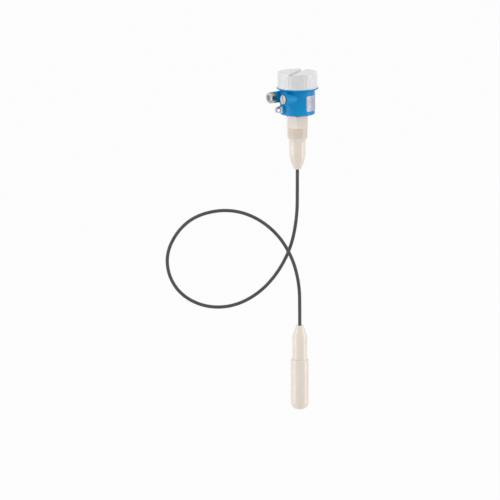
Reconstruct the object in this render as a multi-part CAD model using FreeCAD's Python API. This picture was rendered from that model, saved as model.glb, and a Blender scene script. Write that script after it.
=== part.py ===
import FreeCAD, Part
import math
import os

# Capacitive level switch with a rope: a cast head with a screw cover, a moulded process
# connection, a rope in one loop and a probe at its lower end.
# The origin is the centre of the hexagon's underside, where the process thread begins.
# +Z runs up the head's axis, and the cable entries point along -X. Millimetres and degrees.

# Clearances
FIT_GAP = 0.05
SEAL_GAP = 0.1
SCREW_GAP = 0.3
SEAT_GAP = 0.2

# Slope of the cone that turns off a metal hexagon's corners
SPANNER_CORNER_SLOPE = 30.0

# Process connection
HEX_LEDGE = 1.1
HEX_HEIGHT = 30.0
HEX_TURN = -5.0
HEX_EDGE_SLOPE = 10.0
FLANGE_HEIGHT = 2.5
PROCESS_THREAD_DIAMETER = 47.8
PROCESS_THREAD_LENGTH = 23.5
PROCESS_THREAD_RUN_OUT = 1.5
SHOULDER_LENGTH = 7.0
UPPER_NECK_DIAMETER = 39.0
UPPER_NECK_LENGTH = 22.0
UPPER_CONE_LENGTH = 44.7
UPPER_CONE_BULGE = 2.8
UPPER_TIP_DIAMETER = 17.0
STUB_DIAMETER = 31.8
STUB_PROUD = 2.0
LEAD_BORE_DIAMETER = 16.0

# Housing
BODY_DIAMETER = 81.7
BODY_HEIGHT = 62.5
BODY_BOTTOM_ROUND = 2.5
HOUSING_WALL = 3.5
HOUSING_FLOOR = 5.0
BOSS_ROOT_ROUND = 4.0
BOSS_END_ROUND = 1.0
COLLAR_LEDGE = 1.75
COLLAR_RIM_HEIGHT = 1.5
COLLAR_SLOPE_HEIGHT = 5.0
COLLAR_EDGE_ROUND = 0.8
HOUSING_NECK_WALL = 4.65
COVER_THREAD_LENGTH = 11.5

# Cover
COVER_WALL = 4.25
COVER_HEIGHT = 37.0
COVER_TOP_THICKNESS = 10.0
COVER_EDGE_ROUND = 2.5
COVER_BEAD_PROUD = 1.25
COVER_BEAD_HEIGHT = 4.5
COVER_LEDGE = 2.0
GROOVE_WIDTH = 13.0
GROOVE_DEPTH = 5.0
GROOVE_TURN = 37.0
FLUTE_COUNT = 30
FLUTE_WIDTH = 5.6
FLUTE_DEPTH = 0.5
FLUTE_TOP_MARGIN = 6.0
COVER_SEAL_SECTION = 3.0

# Rating plate
PLATE_HEIGHT = 36.5
PLATE_BASE = 10.3
PLATE_SPREAD = 74.0
PLATE_TURN = -57.5
PLATE_THICKNESS = 0.8
PLATE_CORNER_ROUND = 2.0

# Cable entries
ENTRY_HEIGHT = 41.3
ENTRY_OFFSET = 20.0
ENTRY_STAND = 13.15
ENTRY_BOSS_WALL = 3.5
ENTRY_THREAD_DIAMETER = 20.0
ENTRY_THREAD_LENGTH = 11.0

# Cable gland
GLAND_WASHER_WIDTH = 2.5
GLAND_WASHER_THICKNESS = 1.5
GLAND_NUT_WALL = 2.0
GLAND_HEX_HEIGHT = 3.5
GLAND_CROWN_DIAMETER = 20.0
GLAND_CROWN_LENGTH = 5.5
GLAND_BORE_DIAMETER = 14.0
GLAND_CROWN_WALL = 1.5
GLAND_INSERT_LENGTH = 8.0
CABLE_HOLE_DIAMETER = 7.0
THRUST_RING_THICKNESS = 1.2
NUT_MOUTH_DIAMETER = 13.0
NUT_FRONT_THICKNESS = 1.9
NUT_SKIRT_GAP = 1.0
NUT_NOSE_HEIGHT = 2.6
NUT_NOSE_DIAMETER = 21.6
NUT_NOSE_BULGE = 0.5

# Blanking plug
PLUG_HEAD_LEDGE = 1.0
PLUG_HEAD_HEIGHT = 1.4
PLUG_HEAD_ROUND = 0.6
PLUG_SLOT_WIDTH = 2.6
PLUG_SLOT_DEPTH = 0.8
PLUG_SLOT_TURN = 20.0
PLUG_SEAL_WIDTH = 2.3
PLUG_SEAL_THICKNESS = 0.6

# Earth terminal
EARTH_HEIGHT = 14.5
EARTH_BOSS_DIAMETER = 20.0
EARTH_STAND = 5.15
EARTH_SCREW_DIAMETER = 5.0
EARTH_CLAMP_WIDTH = 13.0
EARTH_CLAMP_HEIGHT = 15.0
EARTH_CLAMP_DEPTH = 6.5
EARTH_CLAMP_SHEET = 2.2
EARTH_WASHER_DIAMETER = 10.4
EARTH_WASHER_THICKNESS = 1.4
EARTH_HEAD_ACROSS_FLATS = 11.5
EARTH_HEAD_HEIGHT = 6.5
EARTH_SLOT_WIDTH = 1.6
EARTH_SLOT_DEPTH = 2.2

# Electronic insert
INSERT_LIFT = 1.5
INSERT_ROOM = 4.35
INSERT_PAD_GAP = 0.5
INSERT_HEIGHT = 16.0
INSERT_WALL = 2.0
INSERT_DECK = 2.4
INSERT_POST_DIAMETER = 9.0
INSERT_POST_INSET = 5.0
INSERT_SCREW_DIAMETER = 3.5
INSERT_SCREW_HEAD_DIAMETER = 6.4
INSERT_SCREW_HEAD_HEIGHT = 2.2
INSERT_SCREW_BITE = 8.0
BOARD_THICKNESS = 1.6
BOARD_DEPTH = 8.0
TERMINAL_WIDTH = 14.0
TERMINAL_LENGTH = 42.0
TERMINAL_HEIGHT = 12.0
TERMINAL_PLACE = 13.0
TERMINAL_COUNT = 4
TERMINAL_PITCH = 10.0
TERMINAL_WELL_DEPTH = 7.0
TERMINAL_SCREW_DIAMETER = 5.0
TERMINAL_WIRE_HOLE_DIAMETER = 3.6
SCREW_SLOT_WIDTH = 0.8
SCREW_SLOT_DEPTH = 1.0
SWITCH_PLACE = (-10.0, 12.0)
SWITCH_SIZE = 4.0
SWITCH_TRAVEL = 4.0
SWITCH_STAND = 2.6
DIAL_PLACE = (-10.0, -12.0)
DIAL_DIAMETER = 10.0
DIAL_HEIGHT = 3.2
DIAL_SHAFT_DIAMETER = 4.0
DIAL_SLOT_WIDTH = 1.2
LAMP_INSET = 13.0
LAMP_SPACING = 9.0
LAMP_DIAMETER = 3.0
LAMP_STAND = 2.4
LAMP_DEPTH = 5.0

# Seat of the process connection in the housing floor
HOUSING_SEAL_SECTION = 2.4
HOUSING_SEAL_LAND = 1.1
HOUSING_SEAL_RIM = 1.6
HOUSING_NUT_WALL = 4.1
HOUSING_NUT_HEIGHT = 6.0

# Rope: its loop hangs in an upright plane turned about the head's axis
ROPE_DIAMETER = 8.0
ROPE_PLANE_TURN = -35.0
ROPE_ARC_SHARE = 0.45
ANCHOR_DIAMETER = 13.8
ANCHOR_LENGTH = 25.0
ROPE_GRIP = 18.7

# Lower probe
PROBE_SIDESTEP = 6.0
PROBE_TIP_Z = -472.0
PROBE_TIP_DIAMETER = 17.6
PROBE_TIP_LIP = 0.6
PROBE_CONE_LENGTH = 25.6
PROBE_CONE_BULGE = 0.2
PROBE_NECK_DIAMETER = 35.6
PROBE_NECK_LENGTH = 56.2
PROBE_BODY_DIAMETER = 42.8
PROBE_BODY_LENGTH = 119.0
PROBE_BODY_ROUND = 1.5
PROBE_END_ROUND = 16.0
PROBE_BODY_WALL = 4.0
PROBE_FLOOR = 9.0
SPIGOT_LENGTH = 12.0
GUARD_LENGTH = 18.0
ELECTRODE_SPACING = 4.0
ELECTRODE_WALL = 3.0

# Diameters and reaches that follow from the sizes above
HEX_ACROSS_FLATS = PROCESS_THREAD_DIAMETER + 2 * HEX_LEDGE
HOUSING_SEAL_DIAMETER = STUB_DIAMETER + HOUSING_SEAL_SECTION + 2 * HOUSING_SEAL_LAND
FLANGE_DIAMETER = HOUSING_SEAL_DIAMETER + HOUSING_SEAL_SECTION + 2 * HOUSING_SEAL_RIM
HOUSING_NUT_ACROSS_FLATS = STUB_DIAMETER + 2 * HOUSING_NUT_WALL
CAVITY_DIAMETER = BODY_DIAMETER - 2 * HOUSING_WALL
COVER_THREAD_DIAMETER = CAVITY_DIAMETER + 2 * HOUSING_NECK_WALL
COVER_CAVITY_DIAMETER = COVER_THREAD_DIAMETER - 2 * COVER_LEDGE
COVER_DIAMETER = COVER_THREAD_DIAMETER + 2 * COVER_WALL
COVER_BEAD_DIAMETER = COVER_DIAMETER + 2 * COVER_BEAD_PROUD
COLLAR_DIAMETER = COVER_BEAD_DIAMETER + 2 * COLLAR_LEDGE
ENTRY_REACH = BODY_DIAMETER / 2 + ENTRY_STAND
ENTRY_BOSS_DIAMETER = ENTRY_THREAD_DIAMETER + 2 * ENTRY_BOSS_WALL
ENTRY_BORE_DIAMETER = ENTRY_THREAD_DIAMETER + 2 * FIT_GAP
GLAND_WASHER_DIAMETER = ENTRY_THREAD_DIAMETER + 2 * GLAND_WASHER_WIDTH
GLAND_ACROSS_FLATS = GLAND_CROWN_DIAMETER + 2 * GLAND_NUT_WALL
GLAND_SEAT_DIAMETER = GLAND_CROWN_DIAMETER - 2 * GLAND_CROWN_WALL
PLUG_HEAD_DIAMETER = ENTRY_THREAD_DIAMETER + 2 * PLUG_HEAD_LEDGE
PLUG_SEAL_DIAMETER = ENTRY_THREAD_DIAMETER + 2 * PLUG_SEAL_WIDTH
EARTH_REACH = BODY_DIAMETER / 2 + EARTH_STAND
INSERT_DIAMETER = CAVITY_DIAMETER - 2 * INSERT_ROOM
INSERT_POST_OFFSET = INSERT_DIAMETER / 2 - INSERT_POST_INSET
LAMP_PLACE = LAMP_INSET - INSERT_DIAMETER / 2
EARTH_PAD_REACH = INSERT_DIAMETER / 2 + INSERT_PAD_GAP
EARTH_HOLE_REACH = EARTH_PAD_REACH + HOUSING_WALL

# Heights that follow from the sizes above
HOUSING_Z = HEX_HEIGHT + FLANGE_HEIGHT
FLOOR_Z = HOUSING_Z + HOUSING_FLOOR
STUB_Z = FLOOR_Z + HOUSING_NUT_HEIGHT + STUB_PROUD
INSERT_Z = STUB_Z + INSERT_LIFT
DECK_Z = INSERT_Z + INSERT_HEIGHT
COLLAR_Z = HOUSING_Z + BODY_HEIGHT
COVER_Z = COLLAR_Z + SEAT_GAP
COVER_TOP_Z = COVER_Z + COVER_HEIGHT
ENTRY_Z = HOUSING_Z + ENTRY_HEIGHT
EARTH_Z = HOUSING_Z + EARTH_HEIGHT
SHOULDER_Z = -PROCESS_THREAD_LENGTH - PROCESS_THREAD_RUN_OUT
UPPER_NECK_Z = SHOULDER_Z - SHOULDER_LENGTH
UPPER_CONE_Z = UPPER_NECK_Z - UPPER_NECK_LENGTH
UPPER_TIP_Z = UPPER_CONE_Z - UPPER_CONE_LENGTH
UPPER_ANCHOR_Z = UPPER_TIP_Z + ROPE_GRIP
LOWER_ANCHOR_Z = PROBE_TIP_Z - ROPE_GRIP
PROBE_BODY_Z = PROBE_TIP_Z - PROBE_CONE_LENGTH - PROBE_NECK_LENGTH

# Route of the rope, from anchor to anchor: sideways in its plane, towards its front, and height
ROPE_ROUTE = [
    (0, 0, UPPER_ANCHOR_Z),
    (0, 0, -144),
    (-0.5, -4, -213),
    (-14, -9, -287),
    (-48, -10, -353),
    (-95, -10, -402),
    (-154, -8, -430),
    (-217, -6, -430),
    (-272, -4, -402),
    (-303, -1, -354),
    (-307, 2, -296),
    (-277, 4, -240),
    (-232, 6, -206),
    (-166, 8, -193),
    (-103, 9, -208),
    (-47, 10, -250),
    (-11, 9, -309),
    (5, 4, -374),
    (PROBE_SIDESTEP, 0, -436),
    (PROBE_SIDESTEP, 0, LOWER_ANCHOR_Z),
]


def vector(x, y, z):
    return FreeCAD.Vector(x, y, z)


UP = vector(0, 0, 1)
HEAD_AXIS = (vector(0, 0, 0), UP)


def disc(diameter, bottom, top, x=0.0, y=0.0):
    """Upright solid cylinder between two heights."""
    return Part.makeCylinder(diameter / 2, top - bottom, vector(x, y, bottom))


def ring(outer, inner, bottom, top, x=0.0, y=0.0):
    """Upright cylinder with a bore, by its two diameters."""
    return disc(outer, bottom, top, x, y).cut(disc(inner, bottom, top, x, y))


def block(size_x, size_y, bottom, top, x=0.0, y=0.0):
    """Upright box centred on a point of the plan."""
    corner = vector(x - size_x / 2, y - size_y / 2, bottom)
    return Part.makeBox(size_x, size_y, top - bottom, corner)


def hexagon(across_flats, bottom, top, turn=0.0):
    """Upright hexagonal prism with a corner at the given turn."""
    corner_radius = across_flats / math.sqrt(3)
    corners = []
    for step in range(7):
        angle = math.radians(turn + 60 * step)
        corners.append(vector(corner_radius * math.cos(angle), corner_radius * math.sin(angle), bottom))
    return Part.Face(Part.makePolygon(corners)).extrude(vector(0, 0, top - bottom))


def chamfered_hexagon(across_flats, bottom, top, slope, turn=0.0, both_ends=True):
    """Hexagon whose corners are turned off at its ends by a cone of the given slope."""
    corner_radius = across_flats / math.sqrt(3)
    drop = (corner_radius - across_flats / 2) * math.tan(math.radians(slope))
    profile = [(0, top), (across_flats / 2, top), (corner_radius, top - drop)]
    if both_ends:
        profile += [(corner_radius, bottom + drop), (across_flats / 2, bottom), (0, bottom)]
    else:
        profile += [(corner_radius, bottom), (0, bottom)]
    return hexagon(across_flats, bottom, top, turn).common(turned(profile))


def turned(profile):
    """Solid of revolution about the head's axis from (radius, height) points.

    A point written as (radius, height, via_radius, via_height) is reached by an arc
    through the via point.
    """
    edges = []
    before = profile[-1]
    for point in profile:
        start = vector(before[0], 0, before[1])
        end = vector(point[0], 0, point[1])
        if len(point) == 4:
            edges.append(Part.Arc(start, vector(point[2], 0, point[3]), end).toShape())
        elif start.distanceToPoint(end) > 0:
            edges.append(Part.LineSegment(start, end).toShape())
        before = point
    return Part.Face(Part.Wire(edges)).revolve(*HEAD_AXIS, 360)


def quarter_via(corner_radius, corner_height, round_radius, inwards, towards):
    """Middle point of a quarter round that replaces a profile's square corner."""
    reach = round_radius * (1 - math.sqrt(0.5))
    return corner_radius + inwards * reach, corner_height + towards * reach


def bulged_via(start, end, bulge):
    """Middle point of an arc that stands out from a sloping line by the bulge."""
    run = math.hypot(end[0] - start[0], end[1] - start[1])
    out_radius = abs(end[1] - start[1]) / run * bulge
    out_height = (end[0] - start[0]) / run * bulge * (1 if end[1] < start[1] else -1)
    return (start[0] + end[0]) / 2 + out_radius, (start[1] + end[1]) / 2 + out_height


def o_ring(diameter, section, height):
    """Seal ring by the diameter at the middle of its round section."""
    return Part.makeTorus(diameter / 2, section / 2, vector(0, 0, height), UP)


def sideways(shape, y, height):
    """Turns a piece made along +Z to point along -X, on an axis at the given place."""
    placed = shape.copy()
    placed.rotate(vector(0, 0, 0), vector(0, 1, 0), -90)
    placed.translate(vector(0, y, height))
    return placed


def beside(shape):
    """Moves a piece from the head's axis to the lower probe's axis."""
    placed = shape.copy()
    placed.translate(in_rope_plane(PROBE_SIDESTEP, 0, 0))
    return placed


def in_rope_plane(along, front, height):
    """Point of the head's frame from a point of the rope's plane."""
    turn = math.radians(ROPE_PLANE_TURN)
    x = along * math.cos(turn) + front * math.sin(turn)
    y = along * math.sin(turn) - front * math.cos(turn)
    return vector(x, y, height)


# Housing and its cover


def entry_boss(y):
    return y, ENTRY_Z, ENTRY_BOSS_DIAMETER, ENTRY_REACH


def earth_boss():
    return 0, EARTH_Z, EARTH_BOSS_DIAMETER, EARTH_REACH


def boss_stub(diameter, reach):
    """Solid boss from the head's axis outwards, with a round at its end."""
    outside = diameter / 2
    return turned([
        (0, 0),
        (outside, 0),
        (outside, reach - BOSS_END_ROUND),
        (outside - BOSS_END_ROUND, reach) + quarter_via(outside, reach, BOSS_END_ROUND, -1, -1),
        (0, reach),
    ])


def root_edges(solid, y, height, diameter, reach):
    """Edges where a sideways boss runs into the body: on the boss, and short of its end."""
    found = []
    for edge in solid.Edges:
        middle = edge.valueAt((edge.FirstParameter + edge.LastParameter) / 2)
        from_axis = math.hypot(middle.y - y, middle.z - height)
        on_boss = abs(from_axis - diameter / 2) < FIT_GAP
        short_of_end = middle.x > BOSS_END_ROUND + FIT_GAP - reach
        if on_boss and short_of_end and not isinstance(edge.Curve, Part.Line):
            found.append(edge)
    return found


def cast_body():
    """Solid body with its three bosses, each with a round where it runs into the wall."""
    outside = BODY_DIAMETER / 2
    solid = turned([
        (0, HOUSING_Z),
        (outside - BODY_BOTTOM_ROUND, HOUSING_Z),
        (outside, HOUSING_Z + BODY_BOTTOM_ROUND)
        + quarter_via(outside, HOUSING_Z, BODY_BOTTOM_ROUND, -1, 1),
        (outside, COLLAR_Z),
        (0, COLLAR_Z),
    ])
    bosses = [entry_boss(ENTRY_OFFSET), entry_boss(-ENTRY_OFFSET), earth_boss()]
    for y, height, diameter, reach in bosses:
        solid = solid.fuse(sideways(boss_stub(diameter, reach), y, height))
    solid = solid.removeSplitter()
    roots = []
    for boss in bosses:
        roots += root_edges(solid, *boss)
    return solid.makeFillet(BOSS_ROOT_ROUND, roots)


def cast_collar():
    """Solid collar that the cover sits on, with the neck for the cover's thread."""
    collar = COLLAR_DIAMETER / 2
    neck = COVER_THREAD_DIAMETER / 2
    rim_z = COLLAR_Z - COLLAR_RIM_HEIGHT
    return turned([
        (0, rim_z - COLLAR_SLOPE_HEIGHT),
        (BODY_DIAMETER / 2, rim_z - COLLAR_SLOPE_HEIGHT),
        (collar, rim_z),
        (collar, COLLAR_Z - COLLAR_EDGE_ROUND),
        (collar - COLLAR_EDGE_ROUND, COLLAR_Z)
        + quarter_via(collar, COLLAR_Z, COLLAR_EDGE_ROUND, -1, -1),
        (neck, COLLAR_Z),
        (neck, COLLAR_Z + COVER_THREAD_LENGTH),
        (0, COLLAR_Z + COVER_THREAD_LENGTH),
    ])


def make_housing():
    solid = cast_body().fuse(cast_collar())
    solid = solid.cut(disc(CAVITY_DIAMETER, FLOOR_Z, COLLAR_Z + COVER_THREAD_LENGTH))
    for y in (ENTRY_OFFSET, -ENTRY_OFFSET):
        solid = solid.cut(sideways(disc(ENTRY_BORE_DIAMETER, 0, ENTRY_REACH), y, ENTRY_Z))
    solid = solid.cut(disc(STUB_DIAMETER + 2 * FIT_GAP, HOUSING_Z, FLOOR_Z))
    solid = solid.fuse(earth_thread_pad())
    for y in (INSERT_POST_OFFSET, -INSERT_POST_OFFSET):
        solid = solid.fuse(insert_post(y))
    solid = solid.cut(earth_screw_hole())
    return solid.removeSplitter()


def insert_post(y):
    """Cast post on the housing floor that carries one end of the insert."""
    post = disc(INSERT_POST_DIAMETER, FLOOR_Z, INSERT_Z, 0, y)
    hole = disc(INSERT_SCREW_DIAMETER + 2 * FIT_GAP, INSERT_Z - INSERT_SCREW_BITE, INSERT_Z, 0, y)
    return post.cut(hole)


def earth_thread_pad():
    """Closed inner end of the earth boss, so that its blind hole stays within metal."""
    return sideways(disc(EARTH_BOSS_DIAMETER, EARTH_PAD_REACH, BODY_DIAMETER / 2), 0, EARTH_Z)


def earth_screw_hole():
    """Blind hole that takes the earth screw."""
    hole = disc(EARTH_SCREW_DIAMETER + 2 * SCREW_GAP, EARTH_HOLE_REACH, EARTH_REACH)
    return sideways(hole, 0, EARTH_Z)


def make_cover():
    skirt = COVER_DIAMETER / 2
    bead = COVER_BEAD_DIAMETER / 2
    bead_z = COVER_Z + COVER_BEAD_HEIGHT
    bore = COVER_THREAD_DIAMETER / 2 + SCREW_GAP
    bore_top = COLLAR_Z + COVER_THREAD_LENGTH + SEAT_GAP
    seal_outside = COVER_THREAD_DIAMETER / 2 + COVER_SEAL_SECTION + 3 * SEAL_GAP
    seal_top = COLLAR_Z + COVER_SEAL_SECTION + 2 * SEAL_GAP
    roof_z = COVER_TOP_Z - COVER_TOP_THICKNESS
    cavity = COVER_CAVITY_DIAMETER / 2
    solid = turned([
        (seal_outside, COVER_Z),
        (bead, COVER_Z),
        (bead, bead_z - (bead - skirt)),
        (skirt, bead_z),
        (skirt, COVER_TOP_Z - COVER_EDGE_ROUND),
        (skirt - COVER_EDGE_ROUND, COVER_TOP_Z)
        + quarter_via(skirt, COVER_TOP_Z, COVER_EDGE_ROUND, -1, -1),
        (0, COVER_TOP_Z),
        (0, roof_z),
        (cavity, roof_z),
        (cavity, bore_top),
        (bore, bore_top),
        (bore, seal_top),
        (seal_outside, seal_top),
    ])
    groove = block(2 * bead, GROOVE_WIDTH, COVER_TOP_Z - GROOVE_DEPTH, COVER_TOP_Z)
    groove.rotate(*HEAD_AXIS, GROOVE_TURN)
    flute_radius = (FLUTE_WIDTH ** 2 / 4 + FLUTE_DEPTH ** 2) / (2 * FLUTE_DEPTH)
    flute_place = skirt - FLUTE_DEPTH + flute_radius
    flutes = []
    for step in range(FLUTE_COUNT):
        flute = disc(2 * flute_radius, bead_z, COVER_TOP_Z - FLUTE_TOP_MARGIN, flute_place)
        flute.rotate(*HEAD_AXIS, GROOVE_TURN + 360 / FLUTE_COUNT * (step + 0.5))
        flutes.append(flute)
    return solid.cut(groove).cut(Part.makeCompound(flutes))


def make_cover_seal():
    diameter = COVER_THREAD_DIAMETER + COVER_SEAL_SECTION + 2 * SEAL_GAP
    return o_ring(diameter, COVER_SEAL_SECTION, COLLAR_Z + COVER_SEAL_SECTION / 2 + SEAL_GAP)


def make_rating_plate():
    bottom = HOUSING_Z + PLATE_BASE
    inside = BODY_DIAMETER + 2 * FIT_GAP
    shell = ring(inside + 2 * PLATE_THICKNESS, inside, bottom, bottom + PLATE_HEIGHT)
    width = 2 * BODY_DIAMETER / 2 * math.sin(math.radians(PLATE_SPREAD / 2))
    window = Part.makeBox(BODY_DIAMETER, width, PLATE_HEIGHT, vector(0, -width / 2, bottom))
    corners = [edge for edge in window.Edges if abs(edge.tangentAt(edge.FirstParameter).x) > 0.9]
    window = window.makeFillet(PLATE_CORNER_ROUND, corners)
    plate = shell.common(window)
    plate.rotate(*HEAD_AXIS, PLATE_TURN)
    return plate


# Cable gland, made along +Z outwards from the head's axis and then turned to its entry


def gland_hex_start():
    return ENTRY_REACH + GLAND_WASHER_THICKNESS


def gland_crown_start():
    return gland_hex_start() + GLAND_HEX_HEIGHT


def gland_crown_end():
    return gland_crown_start() + GLAND_CROWN_LENGTH


def make_gland_washer():
    washer = ring(GLAND_WASHER_DIAMETER, ENTRY_BORE_DIAMETER, ENTRY_REACH, gland_hex_start())
    return sideways(washer, ENTRY_OFFSET, ENTRY_Z)


def make_gland_body():
    thread = disc(ENTRY_THREAD_DIAMETER, ENTRY_REACH - ENTRY_THREAD_LENGTH, gland_hex_start())
    collar = chamfered_hexagon(GLAND_ACROSS_FLATS, gland_hex_start(), gland_crown_start(),
                               SPANNER_CORNER_SLOPE)
    crown = disc(GLAND_CROWN_DIAMETER, gland_crown_start(), gland_crown_end())
    solid = thread.fuse([collar, crown])
    solid = solid.cut(disc(GLAND_BORE_DIAMETER, ENTRY_REACH - ENTRY_THREAD_LENGTH, gland_crown_end()))
    seat = disc(GLAND_SEAT_DIAMETER, gland_crown_end() - GLAND_INSERT_LENGTH, gland_crown_end())
    return sideways(solid.cut(seat).removeSplitter(), ENTRY_OFFSET, ENTRY_Z)


def make_gland_insert():
    insert = ring(GLAND_SEAT_DIAMETER - 2 * FIT_GAP, CABLE_HOLE_DIAMETER,
                  gland_crown_end() - GLAND_INSERT_LENGTH, gland_crown_end())
    return sideways(insert, ENTRY_OFFSET, ENTRY_Z)


def make_gland_thrust_ring():
    start = gland_crown_end() + SEAT_GAP
    washer = ring(GLAND_SEAT_DIAMETER, NUT_MOUTH_DIAMETER, start, start + THRUST_RING_THICKNESS)
    return sideways(washer, ENTRY_OFFSET, ENTRY_Z)


def make_gland_nut():
    start = gland_crown_start() + NUT_SKIRT_GAP
    room_end = gland_crown_end() + THRUST_RING_THICKNESS + 2 * SEAT_GAP
    end = room_end + NUT_FRONT_THICKNESS
    flats = GLAND_ACROSS_FLATS / 2
    nose = NUT_NOSE_DIAMETER / 2
    nose_start = end - NUT_NOSE_HEIGHT
    nose_via = bulged_via((flats, nose_start), (nose, end), NUT_NOSE_BULGE)
    front = turned([(0, nose_start), (flats, nose_start), (nose, end) + nose_via, (0, end)])
    solid = chamfered_hexagon(GLAND_ACROSS_FLATS, start, nose_start, SPANNER_CORNER_SLOPE).fuse(front)
    solid = solid.cut(disc(GLAND_CROWN_DIAMETER + 2 * SCREW_GAP, start, room_end))
    solid = solid.cut(disc(NUT_MOUTH_DIAMETER, room_end, end))
    return sideways(solid.removeSplitter(), ENTRY_OFFSET, ENTRY_Z)


# Blanking plug in the second entry


def make_plug_seal():
    seal = ring(PLUG_SEAL_DIAMETER, ENTRY_BORE_DIAMETER, ENTRY_REACH + FIT_GAP,
                ENTRY_REACH + PLUG_SEAL_THICKNESS)
    return sideways(seal, -ENTRY_OFFSET, ENTRY_Z)


def make_blanking_plug():
    start = ENTRY_REACH + PLUG_SEAL_THICKNESS
    end = start + PLUG_HEAD_HEIGHT
    head = PLUG_HEAD_DIAMETER / 2
    thread = ENTRY_THREAD_DIAMETER / 2 - SCREW_GAP
    solid = turned([
        (0, ENTRY_REACH - ENTRY_THREAD_LENGTH),
        (thread, ENTRY_REACH - ENTRY_THREAD_LENGTH),
        (thread, start),
        (head, start),
        (head, end - PLUG_HEAD_ROUND),
        (head - PLUG_HEAD_ROUND, end) + quarter_via(head, end, PLUG_HEAD_ROUND, -1, -1),
        (0, end),
    ])
    slot = block(PLUG_HEAD_DIAMETER, PLUG_SLOT_WIDTH, end - PLUG_SLOT_DEPTH, end)
    slot.rotate(*HEAD_AXIS, PLUG_SLOT_TURN)
    return sideways(solid.cut(slot), -ENTRY_OFFSET, ENTRY_Z)


# Earth terminal


def earth_clamp_end():
    return EARTH_REACH + FIT_GAP + EARTH_CLAMP_DEPTH


def make_ground_clamp():
    """Stirrup whose two legs stand on the boss, with the wire's slot between them."""
    start = EARTH_REACH + FIT_GAP
    solid = block(EARTH_CLAMP_HEIGHT, EARTH_CLAMP_WIDTH, start, earth_clamp_end())
    slot_width = EARTH_CLAMP_WIDTH - 2 * EARTH_CLAMP_SHEET
    solid = solid.cut(block(EARTH_CLAMP_HEIGHT, slot_width, start, earth_clamp_end() - EARTH_CLAMP_SHEET))
    solid = solid.cut(disc(EARTH_SCREW_DIAMETER + 2 * SCREW_GAP, start, earth_clamp_end()))
    return sideways(solid, 0, EARTH_Z)


def make_ground_washer():
    washer = ring(EARTH_WASHER_DIAMETER, EARTH_SCREW_DIAMETER + 2 * SCREW_GAP, earth_clamp_end(),
                  earth_clamp_end() + EARTH_WASHER_THICKNESS)
    return sideways(washer, 0, EARTH_Z)


def make_ground_screw():
    start = earth_clamp_end() + EARTH_WASHER_THICKNESS + FIT_GAP
    end = start + EARTH_HEAD_HEIGHT
    shank = disc(EARTH_SCREW_DIAMETER, EARTH_HOLE_REACH + SCREW_GAP, start)
    head = chamfered_hexagon(EARTH_HEAD_ACROSS_FLATS, start, end, SPANNER_CORNER_SLOPE, both_ends=False)
    slot = block(2 * EARTH_HEAD_ACROSS_FLATS, EARTH_SLOT_WIDTH, end - EARTH_SLOT_DEPTH, end)
    return sideways(shank.fuse(head.cut(slot)), 0, EARTH_Z)


# Electronic insert


def terminal_places():
    first = -TERMINAL_PITCH * (TERMINAL_COUNT - 1) / 2
    return [first + TERMINAL_PITCH * step for step in range(TERMINAL_COUNT)]


def make_insert_case():
    inside = INSERT_DIAMETER - 2 * INSERT_WALL
    solid = disc(INSERT_DIAMETER, INSERT_Z, DECK_Z)
    solid = solid.cut(disc(inside, INSERT_Z, DECK_Z - INSERT_DECK))
    for y in (INSERT_POST_OFFSET, -INSERT_POST_OFFSET):
        solid = solid.fuse(disc(INSERT_POST_DIAMETER, INSERT_Z, DECK_Z, 0, y))
    for y in (INSERT_POST_OFFSET, -INSERT_POST_OFFSET):
        solid = solid.cut(disc(INSERT_SCREW_DIAMETER + 2 * FIT_GAP, INSERT_Z, DECK_Z, 0, y))
    slot = block(SWITCH_SIZE + SWITCH_TRAVEL + 2 * SCREW_GAP, SWITCH_SIZE + 2 * FIT_GAP,
                 DECK_Z - INSERT_DECK, DECK_Z, SWITCH_PLACE[0] + SWITCH_TRAVEL / 2, SWITCH_PLACE[1])
    shaft_hole = disc(DIAL_SHAFT_DIAMETER + 2 * FIT_GAP, DECK_Z - INSERT_DECK, DECK_Z, *DIAL_PLACE)
    solid = solid.cut([slot, shaft_hole])
    for y in (LAMP_SPACING / 2, -LAMP_SPACING / 2):
        solid = solid.cut(disc(LAMP_DIAMETER + 2 * FIT_GAP, DECK_Z - INSERT_DECK, DECK_Z, LAMP_PLACE, y))
    return solid.removeSplitter()


def make_circuit_board():
    top = DECK_Z - BOARD_DEPTH
    board = disc(INSERT_DIAMETER - 2 * INSERT_WALL - 2 * SEAT_GAP, top - BOARD_THICKNESS, top)
    for y in (INSERT_POST_OFFSET, -INSERT_POST_OFFSET):
        board = board.cut(disc(INSERT_POST_DIAMETER + 2 * SEAT_GAP, top - BOARD_THICKNESS, top, 0, y))
    return board.Solids[0]


def make_insert_screws():
    screws = []
    for y in (INSERT_POST_OFFSET, -INSERT_POST_OFFSET):
        head_top = DECK_Z + INSERT_SCREW_HEAD_HEIGHT
        shank = disc(INSERT_SCREW_DIAMETER, INSERT_Z - INSERT_SCREW_BITE + FIT_GAP, DECK_Z, 0, y)
        head = disc(INSERT_SCREW_HEAD_DIAMETER, DECK_Z, head_top, 0, y)
        slot = block(INSERT_SCREW_HEAD_DIAMETER, SCREW_SLOT_WIDTH, head_top - SCREW_SLOT_DEPTH,
                     head_top, 0, y)
        screws.append(shank.fuse(head.cut(slot)).removeSplitter())
    return Part.makeCompound(screws)


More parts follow.
